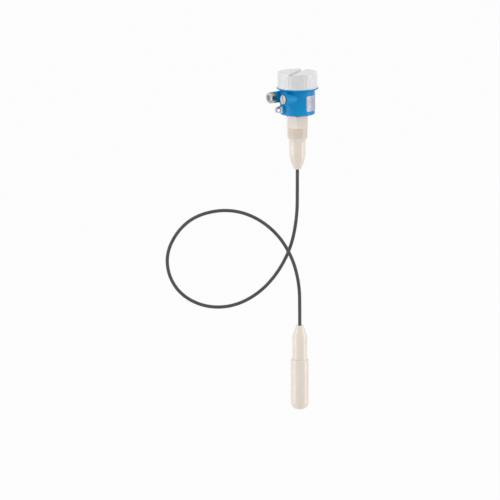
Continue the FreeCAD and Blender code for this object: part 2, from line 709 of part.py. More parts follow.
def make_terminal_block():
    top = DECK_Z + TERMINAL_HEIGHT
    solid = block(TERMINAL_WIDTH, TERMINAL_LENGTH, DECK_Z, top, TERMINAL_PLACE)
    wire_height = top - TERMINAL_WELL_DEPTH
    for y in terminal_places():
        well = disc(TERMINAL_SCREW_DIAMETER + 2 * FIT_GAP, wire_height, top, TERMINAL_PLACE, y)
        wire_hole = disc(TERMINAL_WIRE_HOLE_DIAMETER, 0, TERMINAL_WIDTH)
        wire_hole.rotate(vector(0, 0, 0), vector(0, 1, 0), -90)
        wire_hole.translate(vector(TERMINAL_PLACE, y, wire_height))
        solid = solid.cut([well, wire_hole])
    return solid


def make_terminal_screws():
    bottom = DECK_Z + TERMINAL_HEIGHT - TERMINAL_WELL_DEPTH + TERMINAL_WIRE_HOLE_DIAMETER / 2
    screws = []
    for y in terminal_places():
        top = DECK_Z + TERMINAL_HEIGHT - FIT_GAP
        screw = disc(TERMINAL_SCREW_DIAMETER, bottom, top, TERMINAL_PLACE, y)
        slot = block(TERMINAL_SCREW_DIAMETER, SCREW_SLOT_WIDTH, top - SCREW_SLOT_DEPTH, top,
                     TERMINAL_PLACE, y)
        screws.append(screw.cut(slot))
    return Part.makeCompound(screws)


def make_mode_switch():
    return block(SWITCH_SIZE, SWITCH_SIZE, DECK_Z - INSERT_DECK, DECK_Z + SWITCH_STAND, *SWITCH_PLACE)


def make_sensitivity_dial():
    top = DECK_Z + SEAT_GAP + DIAL_HEIGHT
    knob = disc(DIAL_DIAMETER, DECK_Z + SEAT_GAP, top, *DIAL_PLACE)
    slot = block(DIAL_DIAMETER, DIAL_SLOT_WIDTH, top - DIAL_HEIGHT / 2, top, *DIAL_PLACE)
    shaft = disc(DIAL_SHAFT_DIAMETER, DECK_Z - INSERT_DECK, DECK_Z + SEAT_GAP, *DIAL_PLACE)
    return knob.cut(slot).fuse(shaft).removeSplitter()


def make_lamp(y):
    """Indicator lamp with a round end that stands out of the deck."""
    straight_top = DECK_Z + LAMP_STAND - LAMP_DIAMETER / 2
    stem = disc(LAMP_DIAMETER, DECK_Z - LAMP_DEPTH, straight_top, LAMP_PLACE, y)
    dome = Part.makeSphere(LAMP_DIAMETER / 2, vector(LAMP_PLACE, y, straight_top))
    return stem.fuse(dome).removeSplitter()


# Process connection and its seat in the housing floor


def make_process_connection():
    thread = PROCESS_THREAD_DIAMETER / 2
    neck = UPPER_NECK_DIAMETER / 2
    tip = UPPER_TIP_DIAMETER / 2
    stub = STUB_DIAMETER / 2
    flange = FLANGE_DIAMETER / 2
    cone_via = bulged_via((neck, UPPER_CONE_Z), (tip, UPPER_TIP_Z), UPPER_CONE_BULGE)
    solid = turned([
        (0, UPPER_TIP_Z),
        (tip, UPPER_TIP_Z),
        (neck, UPPER_CONE_Z) + cone_via,
        (neck, UPPER_NECK_Z),
        (thread - PROCESS_THREAD_RUN_OUT, SHOULDER_Z),
        (thread, -PROCESS_THREAD_LENGTH),
        (thread, HEX_HEIGHT / 2),
        (flange, HEX_HEIGHT / 2),
        (flange, HOUSING_Z),
        (stub, HOUSING_Z),
        (stub, STUB_Z),
        (0, STUB_Z),
    ])
    solid = solid.fuse(chamfered_hexagon(HEX_ACROSS_FLATS, 0, HEX_HEIGHT, HEX_EDGE_SLOPE, HEX_TURN))
    groove = ring(HOUSING_SEAL_DIAMETER + HOUSING_SEAL_SECTION + 2 * SEAL_GAP,
                  HOUSING_SEAL_DIAMETER - HOUSING_SEAL_SECTION - 2 * SEAL_GAP,
                  HOUSING_Z - HOUSING_SEAL_SECTION - 2 * SEAL_GAP, HOUSING_Z)
    anchor_top = UPPER_ANCHOR_Z + ANCHOR_LENGTH
    passage = disc(LEAD_BORE_DIAMETER, anchor_top, STUB_Z)
    socket = disc(ANCHOR_DIAMETER + 2 * FIT_GAP, UPPER_ANCHOR_Z, anchor_top)
    rope_hole = disc(ROPE_DIAMETER + 2 * SEAL_GAP, UPPER_TIP_Z, UPPER_ANCHOR_Z)
    return solid.cut([groove, passage, socket, rope_hole]).removeSplitter()


def make_housing_seal():
    return o_ring(HOUSING_SEAL_DIAMETER, HOUSING_SEAL_SECTION,
                  HOUSING_Z - HOUSING_SEAL_SECTION / 2 - SEAL_GAP)


def make_housing_nut():
    nut = chamfered_hexagon(HOUSING_NUT_ACROSS_FLATS, FLOOR_Z, FLOOR_Z + HOUSING_NUT_HEIGHT,
                            SPANNER_CORNER_SLOPE)
    return nut.cut(disc(STUB_DIAMETER + 2 * FIT_GAP, FLOOR_Z, FLOOR_Z + HOUSING_NUT_HEIGHT))


# Rope and its anchors


def make_upper_rope_anchor():
    return disc(ANCHOR_DIAMETER, UPPER_ANCHOR_Z, UPPER_ANCHOR_Z + ANCHOR_LENGTH)


def make_lower_rope_anchor():
    return beside(disc(ANCHOR_DIAMETER, LOWER_ANCHOR_Z - ANCHOR_LENGTH, LOWER_ANCHOR_Z))


def make_rope():
    """Tube along the route: straight runs joined by arcs that touch them."""
    points = [in_rope_plane(*place) for place in ROPE_ROUTE]
    edges = []
    radii = []
    run_start = points[0]
    for before, corner, after in zip(points, points[1:], points[2:]):
        back = before - corner
        onward = after - corner
        turn = math.pi - back.getAngle(onward)
        reach = ROPE_ARC_SHARE * min(back.Length, onward.Length)
        radius = reach / math.tan(turn / 2)
        radii.append(radius)
        back.normalize()
        onward.normalize()
        towards_centre = back + onward
        towards_centre.normalize()
        sagitta = radius / math.cos(turn / 2) - radius
        arc_start = corner + back * reach
        arc_end = corner + onward * reach
        arc_middle = corner + towards_centre * sagitta
        edges.append(Part.LineSegment(run_start, arc_start).toShape())
        edges.append(Part.Arc(arc_start, arc_middle, arc_end).toShape())
        run_start = arc_end
    edges.append(Part.LineSegment(run_start, points[-1]).toShape())
    path = Part.Wire(edges)
    section = Part.Wire(Part.makeCircle(ROPE_DIAMETER / 2, points[0], points[1] - points[0]))
    rope = path.makePipeShell([section], True, True)
    expected = math.pi * ROPE_DIAMETER ** 2 / 4 * path.Length
    print("rope radii", [round(radius) for radius in radii])
    print("rope length", round(path.Length, 1), "volume over section times length",
          round(rope.Volume / expected, 5))
    return rope


# Lower probe, made on the head's axis and then moved beside it


def make_probe_neck():
    tip = PROBE_TIP_DIAMETER / 2
    neck = PROBE_NECK_DIAMETER / 2
    cone_start = PROBE_TIP_Z - PROBE_TIP_LIP
    cone_end = PROBE_TIP_Z - PROBE_CONE_LENGTH
    spigot = PROBE_BODY_DIAMETER / 2 - PROBE_BODY_WALL - FIT_GAP
    spigot_end = PROBE_BODY_Z - SPIGOT_LENGTH
    cone_via = bulged_via((tip, cone_start), (neck, cone_end), PROBE_CONE_BULGE)
    solid = turned([
        (0, PROBE_TIP_Z),
        (tip, PROBE_TIP_Z),
        (tip, cone_start),
        (neck, cone_end) + cone_via,
        (neck, PROBE_BODY_Z),
        (spigot, PROBE_BODY_Z),
        (spigot, spigot_end),
        (0, spigot_end),
    ])
    anchor_bottom = LOWER_ANCHOR_Z - ANCHOR_LENGTH
    rope_hole = disc(ROPE_DIAMETER + 2 * SEAL_GAP, LOWER_ANCHOR_Z, PROBE_TIP_Z)
    socket = disc(ANCHOR_DIAMETER + 2 * FIT_GAP, anchor_bottom, LOWER_ANCHOR_Z)
    passage = disc(ANCHOR_DIAMETER + 2 * FIT_GAP, spigot_end, anchor_bottom)
    return beside(solid.cut([rope_hole, socket, passage]).removeSplitter())


def make_probe_body():
    outside = PROBE_BODY_DIAMETER / 2
    inside = outside - PROBE_BODY_WALL
    end_z = PROBE_BODY_Z - PROBE_BODY_LENGTH
    solid = turned([
        (inside, PROBE_BODY_Z),
        (inside, end_z + PROBE_FLOOR),
        (0, end_z + PROBE_FLOOR),
        (0, end_z),
        (outside - PROBE_END_ROUND, end_z),
        (outside, end_z + PROBE_END_ROUND) + quarter_via(outside, end_z, PROBE_END_ROUND, -1, 1),
        (outside, PROBE_BODY_Z - PROBE_BODY_ROUND),
        (outside - PROBE_BODY_ROUND, PROBE_BODY_Z)
        + quarter_via(outside, PROBE_BODY_Z, PROBE_BODY_ROUND, -1, -1),
    ])
    return beside(solid)


def electrode_ring(bottom, top):
    outer = PROBE_BODY_DIAMETER - 2 * PROBE_BODY_WALL - 2 * FIT_GAP
    return beside(ring(outer, outer - 2 * ELECTRODE_WALL, bottom, top))


def guard_top():
    return PROBE_BODY_Z - SPIGOT_LENGTH - FIT_GAP


def make_guard_electrode():
    return electrode_ring(guard_top() - GUARD_LENGTH, guard_top())


def make_sensing_electrode():
    bottom = PROBE_BODY_Z - PROBE_BODY_LENGTH + PROBE_FLOOR
    return electrode_ring(bottom, guard_top() - GUARD_LENGTH - ELECTRODE_SPACING)


PIECES = {
    "housing": make_housing,
    "cover": make_cover,
    "cover_seal": make_cover_seal,
    "rating_plate": make_rating_plate,
    "gland_washer": make_gland_washer,
    "gland_body": make_gland_body,
    "gland_insert": make_gland_insert,
    "gland_thrust_ring": make_gland_thrust_ring,
    "gland_nut": make_gland_nut,
    "plug_seal": make_plug_seal,
    "blanking_plug": make_blanking_plug,
    "ground_clamp": make_ground_clamp,
    "ground_washer": make_ground_washer,
    "ground_screw": make_ground_screw,
    "insert_case": make_insert_case,
    "circuit_board": make_circuit_board,
    "insert_screws": make_insert_screws,
    "terminal_block": make_terminal_block,
    "terminal_screws": make_terminal_screws,
    "mode_switch": make_mode_switch,
    "sensitivity_dial": make_sensitivity_dial,
    "ready_lamp": lambda: make_lamp(LAMP_SPACING / 2),
    "switch_lamp": lambda: make_lamp(-LAMP_SPACING / 2),
    "process_connection": make_process_connection,
    "housing_seal": make_housing_seal,
    "housing_nut": make_housing_nut,
    "upper_rope_anchor": make_upper_rope_anchor,
    "rope": make_rope,
    "lower_rope_anchor": make_lower_rope_anchor,
    "probe_neck": make_probe_neck,
    "probe_body": make_probe_body,
    "guard_electrode": make_guard_electrode,
    "sensing_electrode": make_sensing_electrode,
}

os.makedirs("parts", exist_ok=True)
for node, make in PIECES.items():
    shape = make()
    shape.exportStep("parts/" + node + ".step")
    print(node, "solids", len(shape.Solids), "valid", shape.isValid(), "volume", round(shape.Volume))
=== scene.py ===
import math
import bmesh
import bpy
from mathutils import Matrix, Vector


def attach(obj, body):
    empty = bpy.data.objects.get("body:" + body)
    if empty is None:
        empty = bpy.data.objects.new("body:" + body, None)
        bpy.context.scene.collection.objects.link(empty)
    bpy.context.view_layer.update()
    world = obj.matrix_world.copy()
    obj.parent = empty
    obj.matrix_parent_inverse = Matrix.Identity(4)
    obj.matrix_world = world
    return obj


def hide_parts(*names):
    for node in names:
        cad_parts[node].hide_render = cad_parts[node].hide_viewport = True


# A capacitive level switch on a rope: a blue cast head with a grey screw cover, a cream moulded
# process connection, one loop of dark rope and a cream lower probe. Sizes are in millimetres.
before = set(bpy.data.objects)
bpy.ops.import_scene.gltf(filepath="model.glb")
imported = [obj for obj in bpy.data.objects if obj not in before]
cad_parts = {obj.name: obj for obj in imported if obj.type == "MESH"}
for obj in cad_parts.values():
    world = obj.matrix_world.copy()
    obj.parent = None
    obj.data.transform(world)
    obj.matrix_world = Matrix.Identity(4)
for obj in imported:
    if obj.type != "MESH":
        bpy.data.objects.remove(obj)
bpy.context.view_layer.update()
MM = 0.001


# Process connection: one moulding of cream plastic, with a spanner hexagon, a pipe thread below
# it and a neck that narrows to the rope. Its stub goes up through the housing's floor.
class Value:
    """A node socket that takes part in Python arithmetic."""

    def __init__(self, socket):
        self.socket = socket

    def node(self, kind, settings, inputs, output=0):
        """Adds a node to the same tree: its settings first, then the values or links it takes."""
        tree = self.socket.id_data
        made = tree.nodes.new(kind)
        for name, setting in settings.items():
            setattr(made, name, setting)
        for name, given in inputs.items():
            if isinstance(given, Value):
                tree.links.new(given.socket, made.inputs[name])
            else:
                made.inputs[name].default_value = given
        return Value(made.outputs[output])

    def maths(self, operation, first, second=0.0):
        return self.node("ShaderNodeMath", {"operation": operation}, {0: first, 1: second})

    def __add__(self, other):
        return self.maths("ADD", self, other)

    def __sub__(self, other):
        return self.maths("SUBTRACT", self, other)

    def __rsub__(self, other):
        return self.maths("SUBTRACT", other, self)

    def __mul__(self, other):
        return self.maths("MULTIPLY", self, other)

    def __truediv__(self, other):
        return self.maths("DIVIDE", self, other)

    def __gt__(self, other):
        return self.maths("GREATER_THAN", self, other)

    def __lt__(self, other):
        return self.maths("LESS_THAN", self, other)

    __radd__ = __add__
    __rmul__ = __mul__

    def axis(self, letter):
        """One coordinate of a vector."""
        return self.node("ShaderNodeSeparateXYZ", {}, {0: self}, "XYZ".index(letter))

    def noise(self, size, detail=2.0):
        """Cloudy values from 0 to 1 with patches of the given size in millimetres."""
        patches = {"Vector": self, "Scale": 1 / (size * MM), "Detail": detail}
        return self.node("ShaderNodeTexNoise", {}, patches)

    def ramp(self, start, end, low=0.0, high=1.0):
        """Eases from low to high while this value goes from start to end."""
        settings = {"interpolation_type": "SMOOTHSTEP"}
        return self.node("ShaderNodeMapRange", settings, {0: self, 1: start, 2: end, 3: low, 4: high})

    def blend(self, low, high):
        """Colour between two others by this value."""
        return self.node("ShaderNodeMix", {"data_type": "RGBA"}, {0: self, 6: low, 7: high}, 2)

    def feed(self, shader, socket):
        self.socket.id_data.links.new(self.socket, shader.inputs[socket])


def tone(red, green, blue):
    """Linear colour of one that is written in the 255 steps of a screen."""
    return [((step / 255 + 0.055) / 1.055) ** 2.4 for step in (red, green, blue)] + [1.0]


def new_finish(name, constants):
    """A material, its shader with the sockets that are the same all over, and the place on a piece."""
    finish = bpy.data.materials.new(name)
    finish.use_nodes = True
    shader = finish.node_tree.nodes["Principled BSDF"]
    for socket, setting in constants.items():
        shader.inputs[socket].default_value = setting
    place = finish.node_tree.nodes.new("ShaderNodeTexCoord")
    return finish, shader, Value(place.outputs["Object"])


def emboss(height, shader, depth, strength=1.0):
    """Lets a height pattern of the given depth in millimetres catch the light."""
    bump = {"Height": height, "Distance": depth * MM, "Strength": strength}
    height.node("ShaderNodeBump", {}, bump).feed(shader, "Normal")


def moulded(name, pale, deep, patch, roughness, constants):
    """Moulded plastic: faint flow patches, a fine grain and a skin that is never quite even."""
    finish, shader, place = new_finish(name, constants)
    flow = place.noise(patch, 3.0)
    flow.ramp(0.3, 0.7).blend(tone(*deep), tone(*pale)).feed(shader, "Base Color")
    place.noise(patch / 5).ramp(0.25, 0.75, roughness - 0.02, roughness + 0.02).feed(shader, "Roughness")
    emboss(place.noise(0.6), shader, 0.002, 0.3)
    return finish


def rounded(corners, steps=5, hold=0.3):
    """Outline through (radius, height, round) corners: each round an arc between two close points."""
    outline = []
    for index, (radius, height, bend) in enumerate(corners):
        here = Vector((radius, height))
        if bend == 0:
            outline.append((radius, height))
            continue
        back = (Vector(corners[index - 1][:2]) - here).normalized()
        onward = (Vector(corners[(index + 1) % len(corners)][:2]) - here).normalized()
        half = back.angle(onward) / 2
        reach = bend / math.tan(half)
        centre = here + (back + onward).normalized() * bend / math.sin(half)
        start = here + back * reach
        end = here + onward * reach
        outline.append(tuple(start + back * hold))
        for step in range(steps + 1):
            spoke = (start - centre).slerp(end - centre, step / steps).normalized()
            outline.append(tuple(centre + spoke * bend))
        outline.append(tuple(end + onward * hold))
    return outline


def bowed(start, end, bow, steps=16):
    """Points between two ends of an outline, on a line that bows outwards."""
    run = Vector(end) - Vector(start)
    out = Vector((-run.y, run.x)).normalized() * (bow if run.y < 0 else -bow)
    points = []
    for step in range(1, steps):
        share = step / steps
        points.append(tuple(Vector(start) + run * share - out * 4 * share * (share - 1)))
    return points


def straight(start, end, spacing):
    """Evenly spaced points from one end of a straight stretch to the other."""
    steps = math.ceil((Vector(end) - Vector(start)).length / spacing)
    return [tuple(Vector(start).lerp(Vector(end), step / steps)) for step in range(steps + 1)]


def turned(outline, count, shape=None):
    """Rings of a turned form, whose radius a shape may change by angle and height."""
    rings = []
    for radius, height in outline:
        if radius == 0:
            rings.append([(0, 0, height)])
            continue
        ring = []
        for step in range(count):
            angle = 2 * math.pi * step / count
            reach = shape(angle, radius, height) if shape else radius
            ring.append((reach * math.cos(angle), reach * math.sin(angle), height))
        rings.append(ring)
    return rings


def hexagon(across_flats, turn=0.0, crispness=60):
    """Radius of a hexagon by angle, with corners that are just broken."""
    def radius(angle):
        total = 0
        for side in range(6):
            facing = math.cos(angle - math.radians(turn + 30 + 60 * side))
            total += max(facing, 0) ** crispness
        return across_flats / 2 * total ** (-1 / crispness)
    return radius


def threaded(angle, radius, height, bottom, top, pitch, depth):
    """Radius on a screw thread that starts and ends gently between two heights."""
    fade = min((height - bottom) / pitch, (top - height) / pitch, 1)
    if fade <= 0:
        return radius
    wave = 0.5 - 0.5 * math.cos(2 * math.pi * (height / pitch) - angle)
    return radius - depth * fade * wave


def upright(x, y, z):
    return x, y, z


def skin(rings, where=upright, loop=False):
    """Closed mesh over rings of points; a ring of one point is a pole."""
    points = []
    firsts = []
    for ring in rings:
        firsts.append(len(points))
        points += [Vector(where(*point)) * MM for point in ring]
    faces = []
    for index in range(0 if loop else 1, len(rings)):
        ring, other = rings[index - 1], rings[index]
        for step in range(max(len(ring), len(other))):
            corners = []
            for size, first, place in ((len(ring), firsts[index - 1], step),
                                       (len(ring), firsts[index - 1], step + 1),
                                       (len(other), firsts[index], step + 1),
                                       (len(other), firsts[index], step)):
                corners.append(first + place % size)
            faces.append(list(dict.fromkeys(corners)))
    mesh = bpy.data.meshes.new("skin")
    mesh.from_pydata(points, [], faces)
    work = bmesh.new()
    work.from_mesh(mesh)
    bmesh.ops.recalc_face_normals(work, faces=work.faces)
    work.to_mesh(mesh)
    work.free()
    return mesh


def add_object(name, data):
    made = bpy.data.objects.new(name, data)
    bpy.context.scene.collection.objects.link(made)
    return made


def dress(piece, finish, crease=35):
    """Gives a piece its material, and smooth faces that break at true edges."""
    piece.data.materials.clear()
    piece.data.materials.append(finish)
    piece.data.shade_smooth()
    piece.data.set_sharp_from_angle(angle=math.radians(crease))


def fit(piece, body, node):
    """Seats a piece on its body in place of the plain solid."""
    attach(piece, body)
    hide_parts(node)


HEX_FLATS = 50.0
HEX_TURN = -5.0
HEX_TOP = 30.0
HEX_BEVEL = 0.68
PIPE_RADIUS = 23.9
PIPE_PITCH = 2.309
PIPE_DEPTH = 1.2
PIPE_END = -23.5
PIPE_RUN_OUT = 0.6
SHOULDER = (22.4, -25.0)
NECK_TOP = (19.5, -32.0)
CONE_TOP = (19.5, -54.0)
CONE_TIP = (8.5, -98.7)
CONE_BOW = 2.8
SEAT_RADIUS = 21.0
SEAT_HEIGHT = 32.5
SEAL_GROOVE = (16.9, 19.5)
SEAL_FLOOR = 29.9
STUB_RADIUS = 15.9
STUB_TOP = 45.5
ROPE_HOLE = 4.1
ROPE_START = -80.0
SOCKET_RADIUS = 6.95
SOCKET_TOP = -55.0
LEAD_BORE = 8.0
hex_corner = HEX_FLATS / math.sqrt(3)
hex_radius = hexagon(HEX_FLATS, HEX_TURN)


def connection_shape(angle, radius, height):
    if PIPE_END <= height <= 0 and radius > NECK_TOP[0]:
        return threaded(angle, radius, height, PIPE_END - PIPE_PITCH, PIPE_RUN_OUT,
                        PIPE_PITCH, PIPE_DEPTH)
    return min(radius, hex_radius(angle))


outline = rounded([(LEAD_BORE, STUB_TOP, 0), (STUB_RADIUS, STUB_TOP, 0.8),
                   (STUB_RADIUS, SEAT_HEIGHT, 0), (SEAL_GROOVE[0], SEAT_HEIGHT, 0),
                   (SEAL_GROOVE[0], SEAL_FLOOR, 0), (SEAL_GROOVE[1], SEAL_FLOOR, 0),
                   (SEAL_GROOVE[1], SEAT_HEIGHT, 0), (SEAT_RADIUS, SEAT_HEIGHT, 0.5),
                   (SEAT_RADIUS, HEX_TOP, 0), (HEX_FLATS / 2 - 0.2, HEX_TOP, 0)])
outline += straight((HEX_FLATS / 2, HEX_TOP), (hex_corner, HEX_TOP - HEX_BEVEL), 0.3)
outline += straight((hex_corner, HEX_TOP - HEX_BEVEL - 0.3), (hex_corner, HEX_BEVEL + 0.3), 5)
outline += straight((hex_corner, HEX_BEVEL), (HEX_FLATS / 2, 0), 0.3)
outline += straight((PIPE_RADIUS, 0), (PIPE_RADIUS, PIPE_END), 0.25)
outline += rounded([(*SHOULDER, 0), (*NECK_TOP, 2.0), (*CONE_TOP, 0)])
cone = bowed(CONE_TOP, CONE_TIP, CONE_BOW)
outline += cone[:-1]
outline += rounded([(*cone[-1], 0), (*CONE_TIP, 0.6), (ROPE_HOLE, CONE_TIP[1], 0.6),
                    (ROPE_HOLE, ROPE_START, 0), (SOCKET_RADIUS, ROPE_START, 0),
                    (SOCKET_RADIUS, SOCKET_TOP, 0), (LEAD_BORE, SOCKET_TOP, 0)])
cream = moulded("cream_moulding", (230, 219, 207), (226, 214, 202), 30, 0.22, {"IOR": 1.5})
process_connection = add_object("process_connection_moulding",
                                skin(turned(outline, 144, connection_shape), loop=True))
dress(process_connection, cream)
fit(process_connection, "head", "process_connection")


# Housing: one aluminium die casting in blue powder coat, with a collar for the cover, two
# cable entries and an earth boss. Its neck is machined bare, and its inside is left as cast.
def coated(name, colour, shade, constants):
    """Powder coat: baked paint that flows into a fine orange peel."""
    finish, shader, place = new_finish(name, constants)
    coat = place.noise(25, 3.0).ramp(0.3, 0.7).blend(tone(*shade), tone(*colour))
    sheen = place.noise(4).ramp(0.3, 0.7, 0.31, 0.38)
    emboss(place.noise(1.4), shader, 0.012, 0.4)
    return finish, shader, place, coat, sheen


NECK_BOTTOM = 95.05
CAVITY_RADIUS = 37.6
CAVITY_FLOOR = 37.6
BARE_METAL = (176, 178, 180)
blue_coat, shader, place, coat, sheen = coated("blue_powder_coat", (0, 142, 202), (0, 135, 195),
                                               {"IOR": 1.5, "Specular IOR Level": 0.2})
from_axis = place.maths("POWER", place.axis("X"), 2) + place.maths("POWER", place.axis("Y"), 2)
inside = (from_axis < (CAVITY_RADIUS * MM) ** 2) * (place.axis("Z") > CAVITY_FLOOR * MM)
bare = place.maths("MAXIMUM", inside, place.axis("Z") > NECK_BOTTOM * MM)
bare.blend(coat, tone(*BARE_METAL)).feed(shader, "Base Color")
bare.feed(shader, "Metallic")
(sheen + bare * 0.1).feed(shader, "Roughness")


def paint_node(node, finish):
    """Gives a solid that stays as it is a better finish."""
    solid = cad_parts[node].data
    solid.materials.clear()
    solid.materials.append(finish)


paint_node("housing", blue_coat)


# Cover thread: the ridge that the cover runs on, cut in the housing's bare neck by a lathe.
# It shows when the cover is unscrewed.
def new_tree(name, sizes):
    """A geometry tree that takes a geometry and named sizes, with its inputs as values."""
    tree = bpy.data.node_groups.new(name, "GeometryNodeTree")
    tree.interface.new_socket("Geometry", in_out="OUTPUT", socket_type="NodeSocketGeometry")
    tree.interface.new_socket("Geometry", in_out="INPUT", socket_type="NodeSocketGeometry")
    for size in sizes:
        tree.interface.new_socket(size, in_out="INPUT", socket_type="NodeSocketFloat")
    taken = tree.nodes.new("NodeGroupInput")
    return tree, [Value(taken.outputs[name]) for name in ["Geometry", *sizes]]


def end_tree(tree, shape, finish):
    """Ends a tree with every copy made real and in its material."""
    real = shape.node("GeometryNodeRealizeInstances", {}, {0: shape})
    dressed = real.node("GeometryNodeSetMaterial", {}, {"Geometry": real, "Material": finish})
    tree.links.new(dressed.socket, tree.nodes.new("NodeGroupOutput").inputs[0])


def grow(carrier, tree, sizes):
    """Plain mesh of what a tree makes on its carrier at the given sizes."""
    modifier = carrier.modifiers.new(tree.name, "NODES")
    modifier.node_group = tree
    for socket in tree.interface.items_tree:
        if socket.in_out == "INPUT" and socket.name in sizes:
            modifier[socket.identifier] = sizes[socket.name]
    carrier.update_tag()
    ready = carrier.evaluated_get(bpy.context.evaluated_depsgraph_get())
    mesh = bpy.data.meshes.new_from_object(ready)
    bpy.data.objects.remove(carrier)
    return mesh


def machined(name, colour, shade, roughness):
    """Bare metal from a lathe or mill, with the faint streaks of the tool."""
    finish, shader, place = new_finish(name, {"Metallic": 1.0})
    place.noise(6, 3.0).ramp(0.3, 0.7).blend(tone(*shade), tone(*colour)).feed(shader, "Base Color")
    streaks = place.node("ShaderNodeMapping", {}, {"Vector": place, "Scale": (8.0, 1.0, 1.0)})
    streaks.noise(2.5, 4.0).ramp(0.3, 0.7, roughness - 0.06, roughness + 0.08).feed(shader, "Roughness")
    emboss(streaks.noise(1.0), shader, 0.01, 0.3)
    return finish


NECK_RADIUS = 42.0
RIDGE_HEIGHT = 0.22
RIDGE_PITCH = 3.0
RIDGE_START = 96.7
RIDGE_TURNS = 3.0
RIDGE_STEPS = 120
RIDGE_SIDES = 8
aluminium = machined("machined_aluminium", BARE_METAL, (160, 162, 165), 0.34)
tree, (_, radius, ridge, pitch, start, turns) = new_tree(
    "screw_ridge", ["Radius", "Ridge", "Pitch", "Start", "Turns"])
helix = radius.node("GeometryNodeCurveSpiral", {}, {
    "Resolution": RIDGE_STEPS, "Rotations": turns, "Start Radius": radius, "End Radius": radius,
    "Height": turns * pitch})
lift = start.node("ShaderNodeCombineXYZ", {}, {"Z": start})
helix = helix.node("GeometryNodeSetPosition", {}, {"Geometry": helix, "Offset": lift})
bead = ridge.node("GeometryNodeCurvePrimitiveCircle", {}, {"Resolution": RIDGE_SIDES, "Radius": ridge})
helix = helix.node("GeometryNodeCurveToMesh", {}, {
    "Curve": helix, "Profile Curve": bead, "Fill Caps": True})
end_tree(tree, helix, aluminium)
cover_thread = add_object("cover_thread", grow(
    add_object("thread_carrier", bpy.data.meshes.new("thread_carrier")), tree,
    {"Radius": NECK_RADIUS * MM, "Ridge": RIDGE_HEIGHT * MM, "Pitch": RIDGE_PITCH * MM,
     "Start": RIDGE_START * MM, "Turns": RIDGE_TURNS}))
dress(cover_thread, aluminium, 60)
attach(cover_thread, "head")


# Seat of the process connection: a rubber O-ring in the flange's groove, and a plated ring nut
# on the stub inside the housing.
def rubbery(name, colour, shade):
    """Rubber with a dull bloom."""
    finish, shader, place = new_finish(name, {"IOR": 1.52})
    place.noise(8, 4.0).ramp(0.3, 0.7).blend(tone(*shade), tone(*colour)).feed(shader, "Base Color")
    place.noise(2).ramp(0.3, 0.7, 0.55, 0.72).feed(shader, "Roughness")
    emboss(place.noise(0.4), shader, 0.02, 0.5)
    return finish


black_rubber = rubbery("black_rubber", (44, 43, 45), (34, 33, 35))
nickel = machined("nickel_plate", (188, 184, 178), (162, 158, 152), 0.2)
paint_node("housing_seal", black_rubber)
paint_node("housing_nut", nickel)


# Electronic insert: a dark plastic case on two posts, with its board inside, terminals, a mode
# switch, a setting dial and two lamps on its deck. Slotted screws hold it and the wires.
insert_plastic = moulded("insert_plastic", (66, 66, 68), (58, 58, 61), 12, 0.5, {"IOR": 1.5})
terminal_plastic = moulded("terminal_plastic", (92, 150, 96), (82, 138, 86), 8, 0.45, {"IOR": 1.5})
control_plastic = moulded("control_plastic", (232, 232, 228), (222, 222, 217), 6, 0.4, {"IOR": 1.5})
board_resin = moulded("board_resin", (44, 116, 66), (36, 104, 58), 5, 0.35, {"IOR": 1.5})
green_lens = moulded("green_lens", (70, 190, 80), (60, 175, 70), 2, 0.2, {"Transmission Weight": 0.4})
red_lens = moulded("red_lens", (205, 50, 42), (190, 42, 36), 2, 0.2, {"Transmission Weight": 0.4})
paint_node("insert_case", insert_plastic)
paint_node("terminal_block", terminal_plastic)
paint_node("mode_switch", control_plastic)
paint_node("sensitivity_dial", control_plastic)
paint_node("circuit_board", board_resin)
paint_node("ready_lamp", green_lens)
paint_node("switch_lamp", red_lens)


def block(size, centre, turn=0.0):
    """Box of the given size round a point, turned about the upright axis through it."""
    work = bmesh.new()
    bmesh.ops.create_cube(work, size=1)
    mesh = bpy.data.meshes.new("block")
    for vertex in work.verts:
        corner = Vector(map(lambda side, share: side * share, size, vertex.co))
        across = math.cos(turn) * corner.x - math.sin(turn) * corner.y
        along = math.sin(turn) * corner.x + math.cos(turn) * corner.y
        vertex.co = (Vector((across, along, corner.z)) + Vector(centre)) * MM
    work.to_mesh(mesh)
    work.free()
    return mesh


def settle(piece):
    """Makes a piece's modifiers part of its plain mesh."""
    ready = piece.evaluated_get(bpy.context.evaluated_depsgraph_get())
    mesh = bpy.data.meshes.new_from_object(ready)
    piece.modifiers.clear()
    piece.data = mesh


def carve(piece, mesh):
    """Cuts a shape out of a piece."""
    cutter = add_object("cutter", mesh)
    cut = piece.modifiers.new("cut", "BOOLEAN")
    cut.operation = "DIFFERENCE"
    cut.object = cutter
    settle(piece)
    bpy.data.objects.remove(cutter)


SLOT_LENGTH = 12.0
SLOT_WIDTH = 0.8
SLOT_DEPTH = 1.0
TERMINAL_SCREW = (2.5, -5.15)
TERMINAL_SCREW_TOP = 74.95
TERMINAL_PITCH = 10.0
TERMINAL_OFFSET = 13.0
INSERT_HEAD = (3.2, -2.2)
INSERT_SHANK = (1.75, -26.15)
INSERT_SCREW_TOP = 65.2
INSERT_SPACING = 56.0
screw_steel = machined("zinc_plated_steel", (200, 201, 203), (184, 185, 188), 0.28)
tree, (screw, count, pitch, across, height) = new_tree(
    "screw_row", ["Count", "Pitch", "Across", "Height"])
first = pitch * (1 - count) * 0.5
row = count.node("GeometryNodeMeshLine", {"mode": "OFFSET"}, {
    "Count": count,
    "Start Location": first.node("ShaderNodeCombineXYZ", {}, {"X": across, "Y": first, "Z": height}),
    "Offset": pitch.node("ShaderNodeCombineXYZ", {}, {"Y": pitch})})
screws = row.node("GeometryNodeInstanceOnPoints", {}, {"Points": row, "Instance": screw})
end_tree(tree, screws, screw_steel)
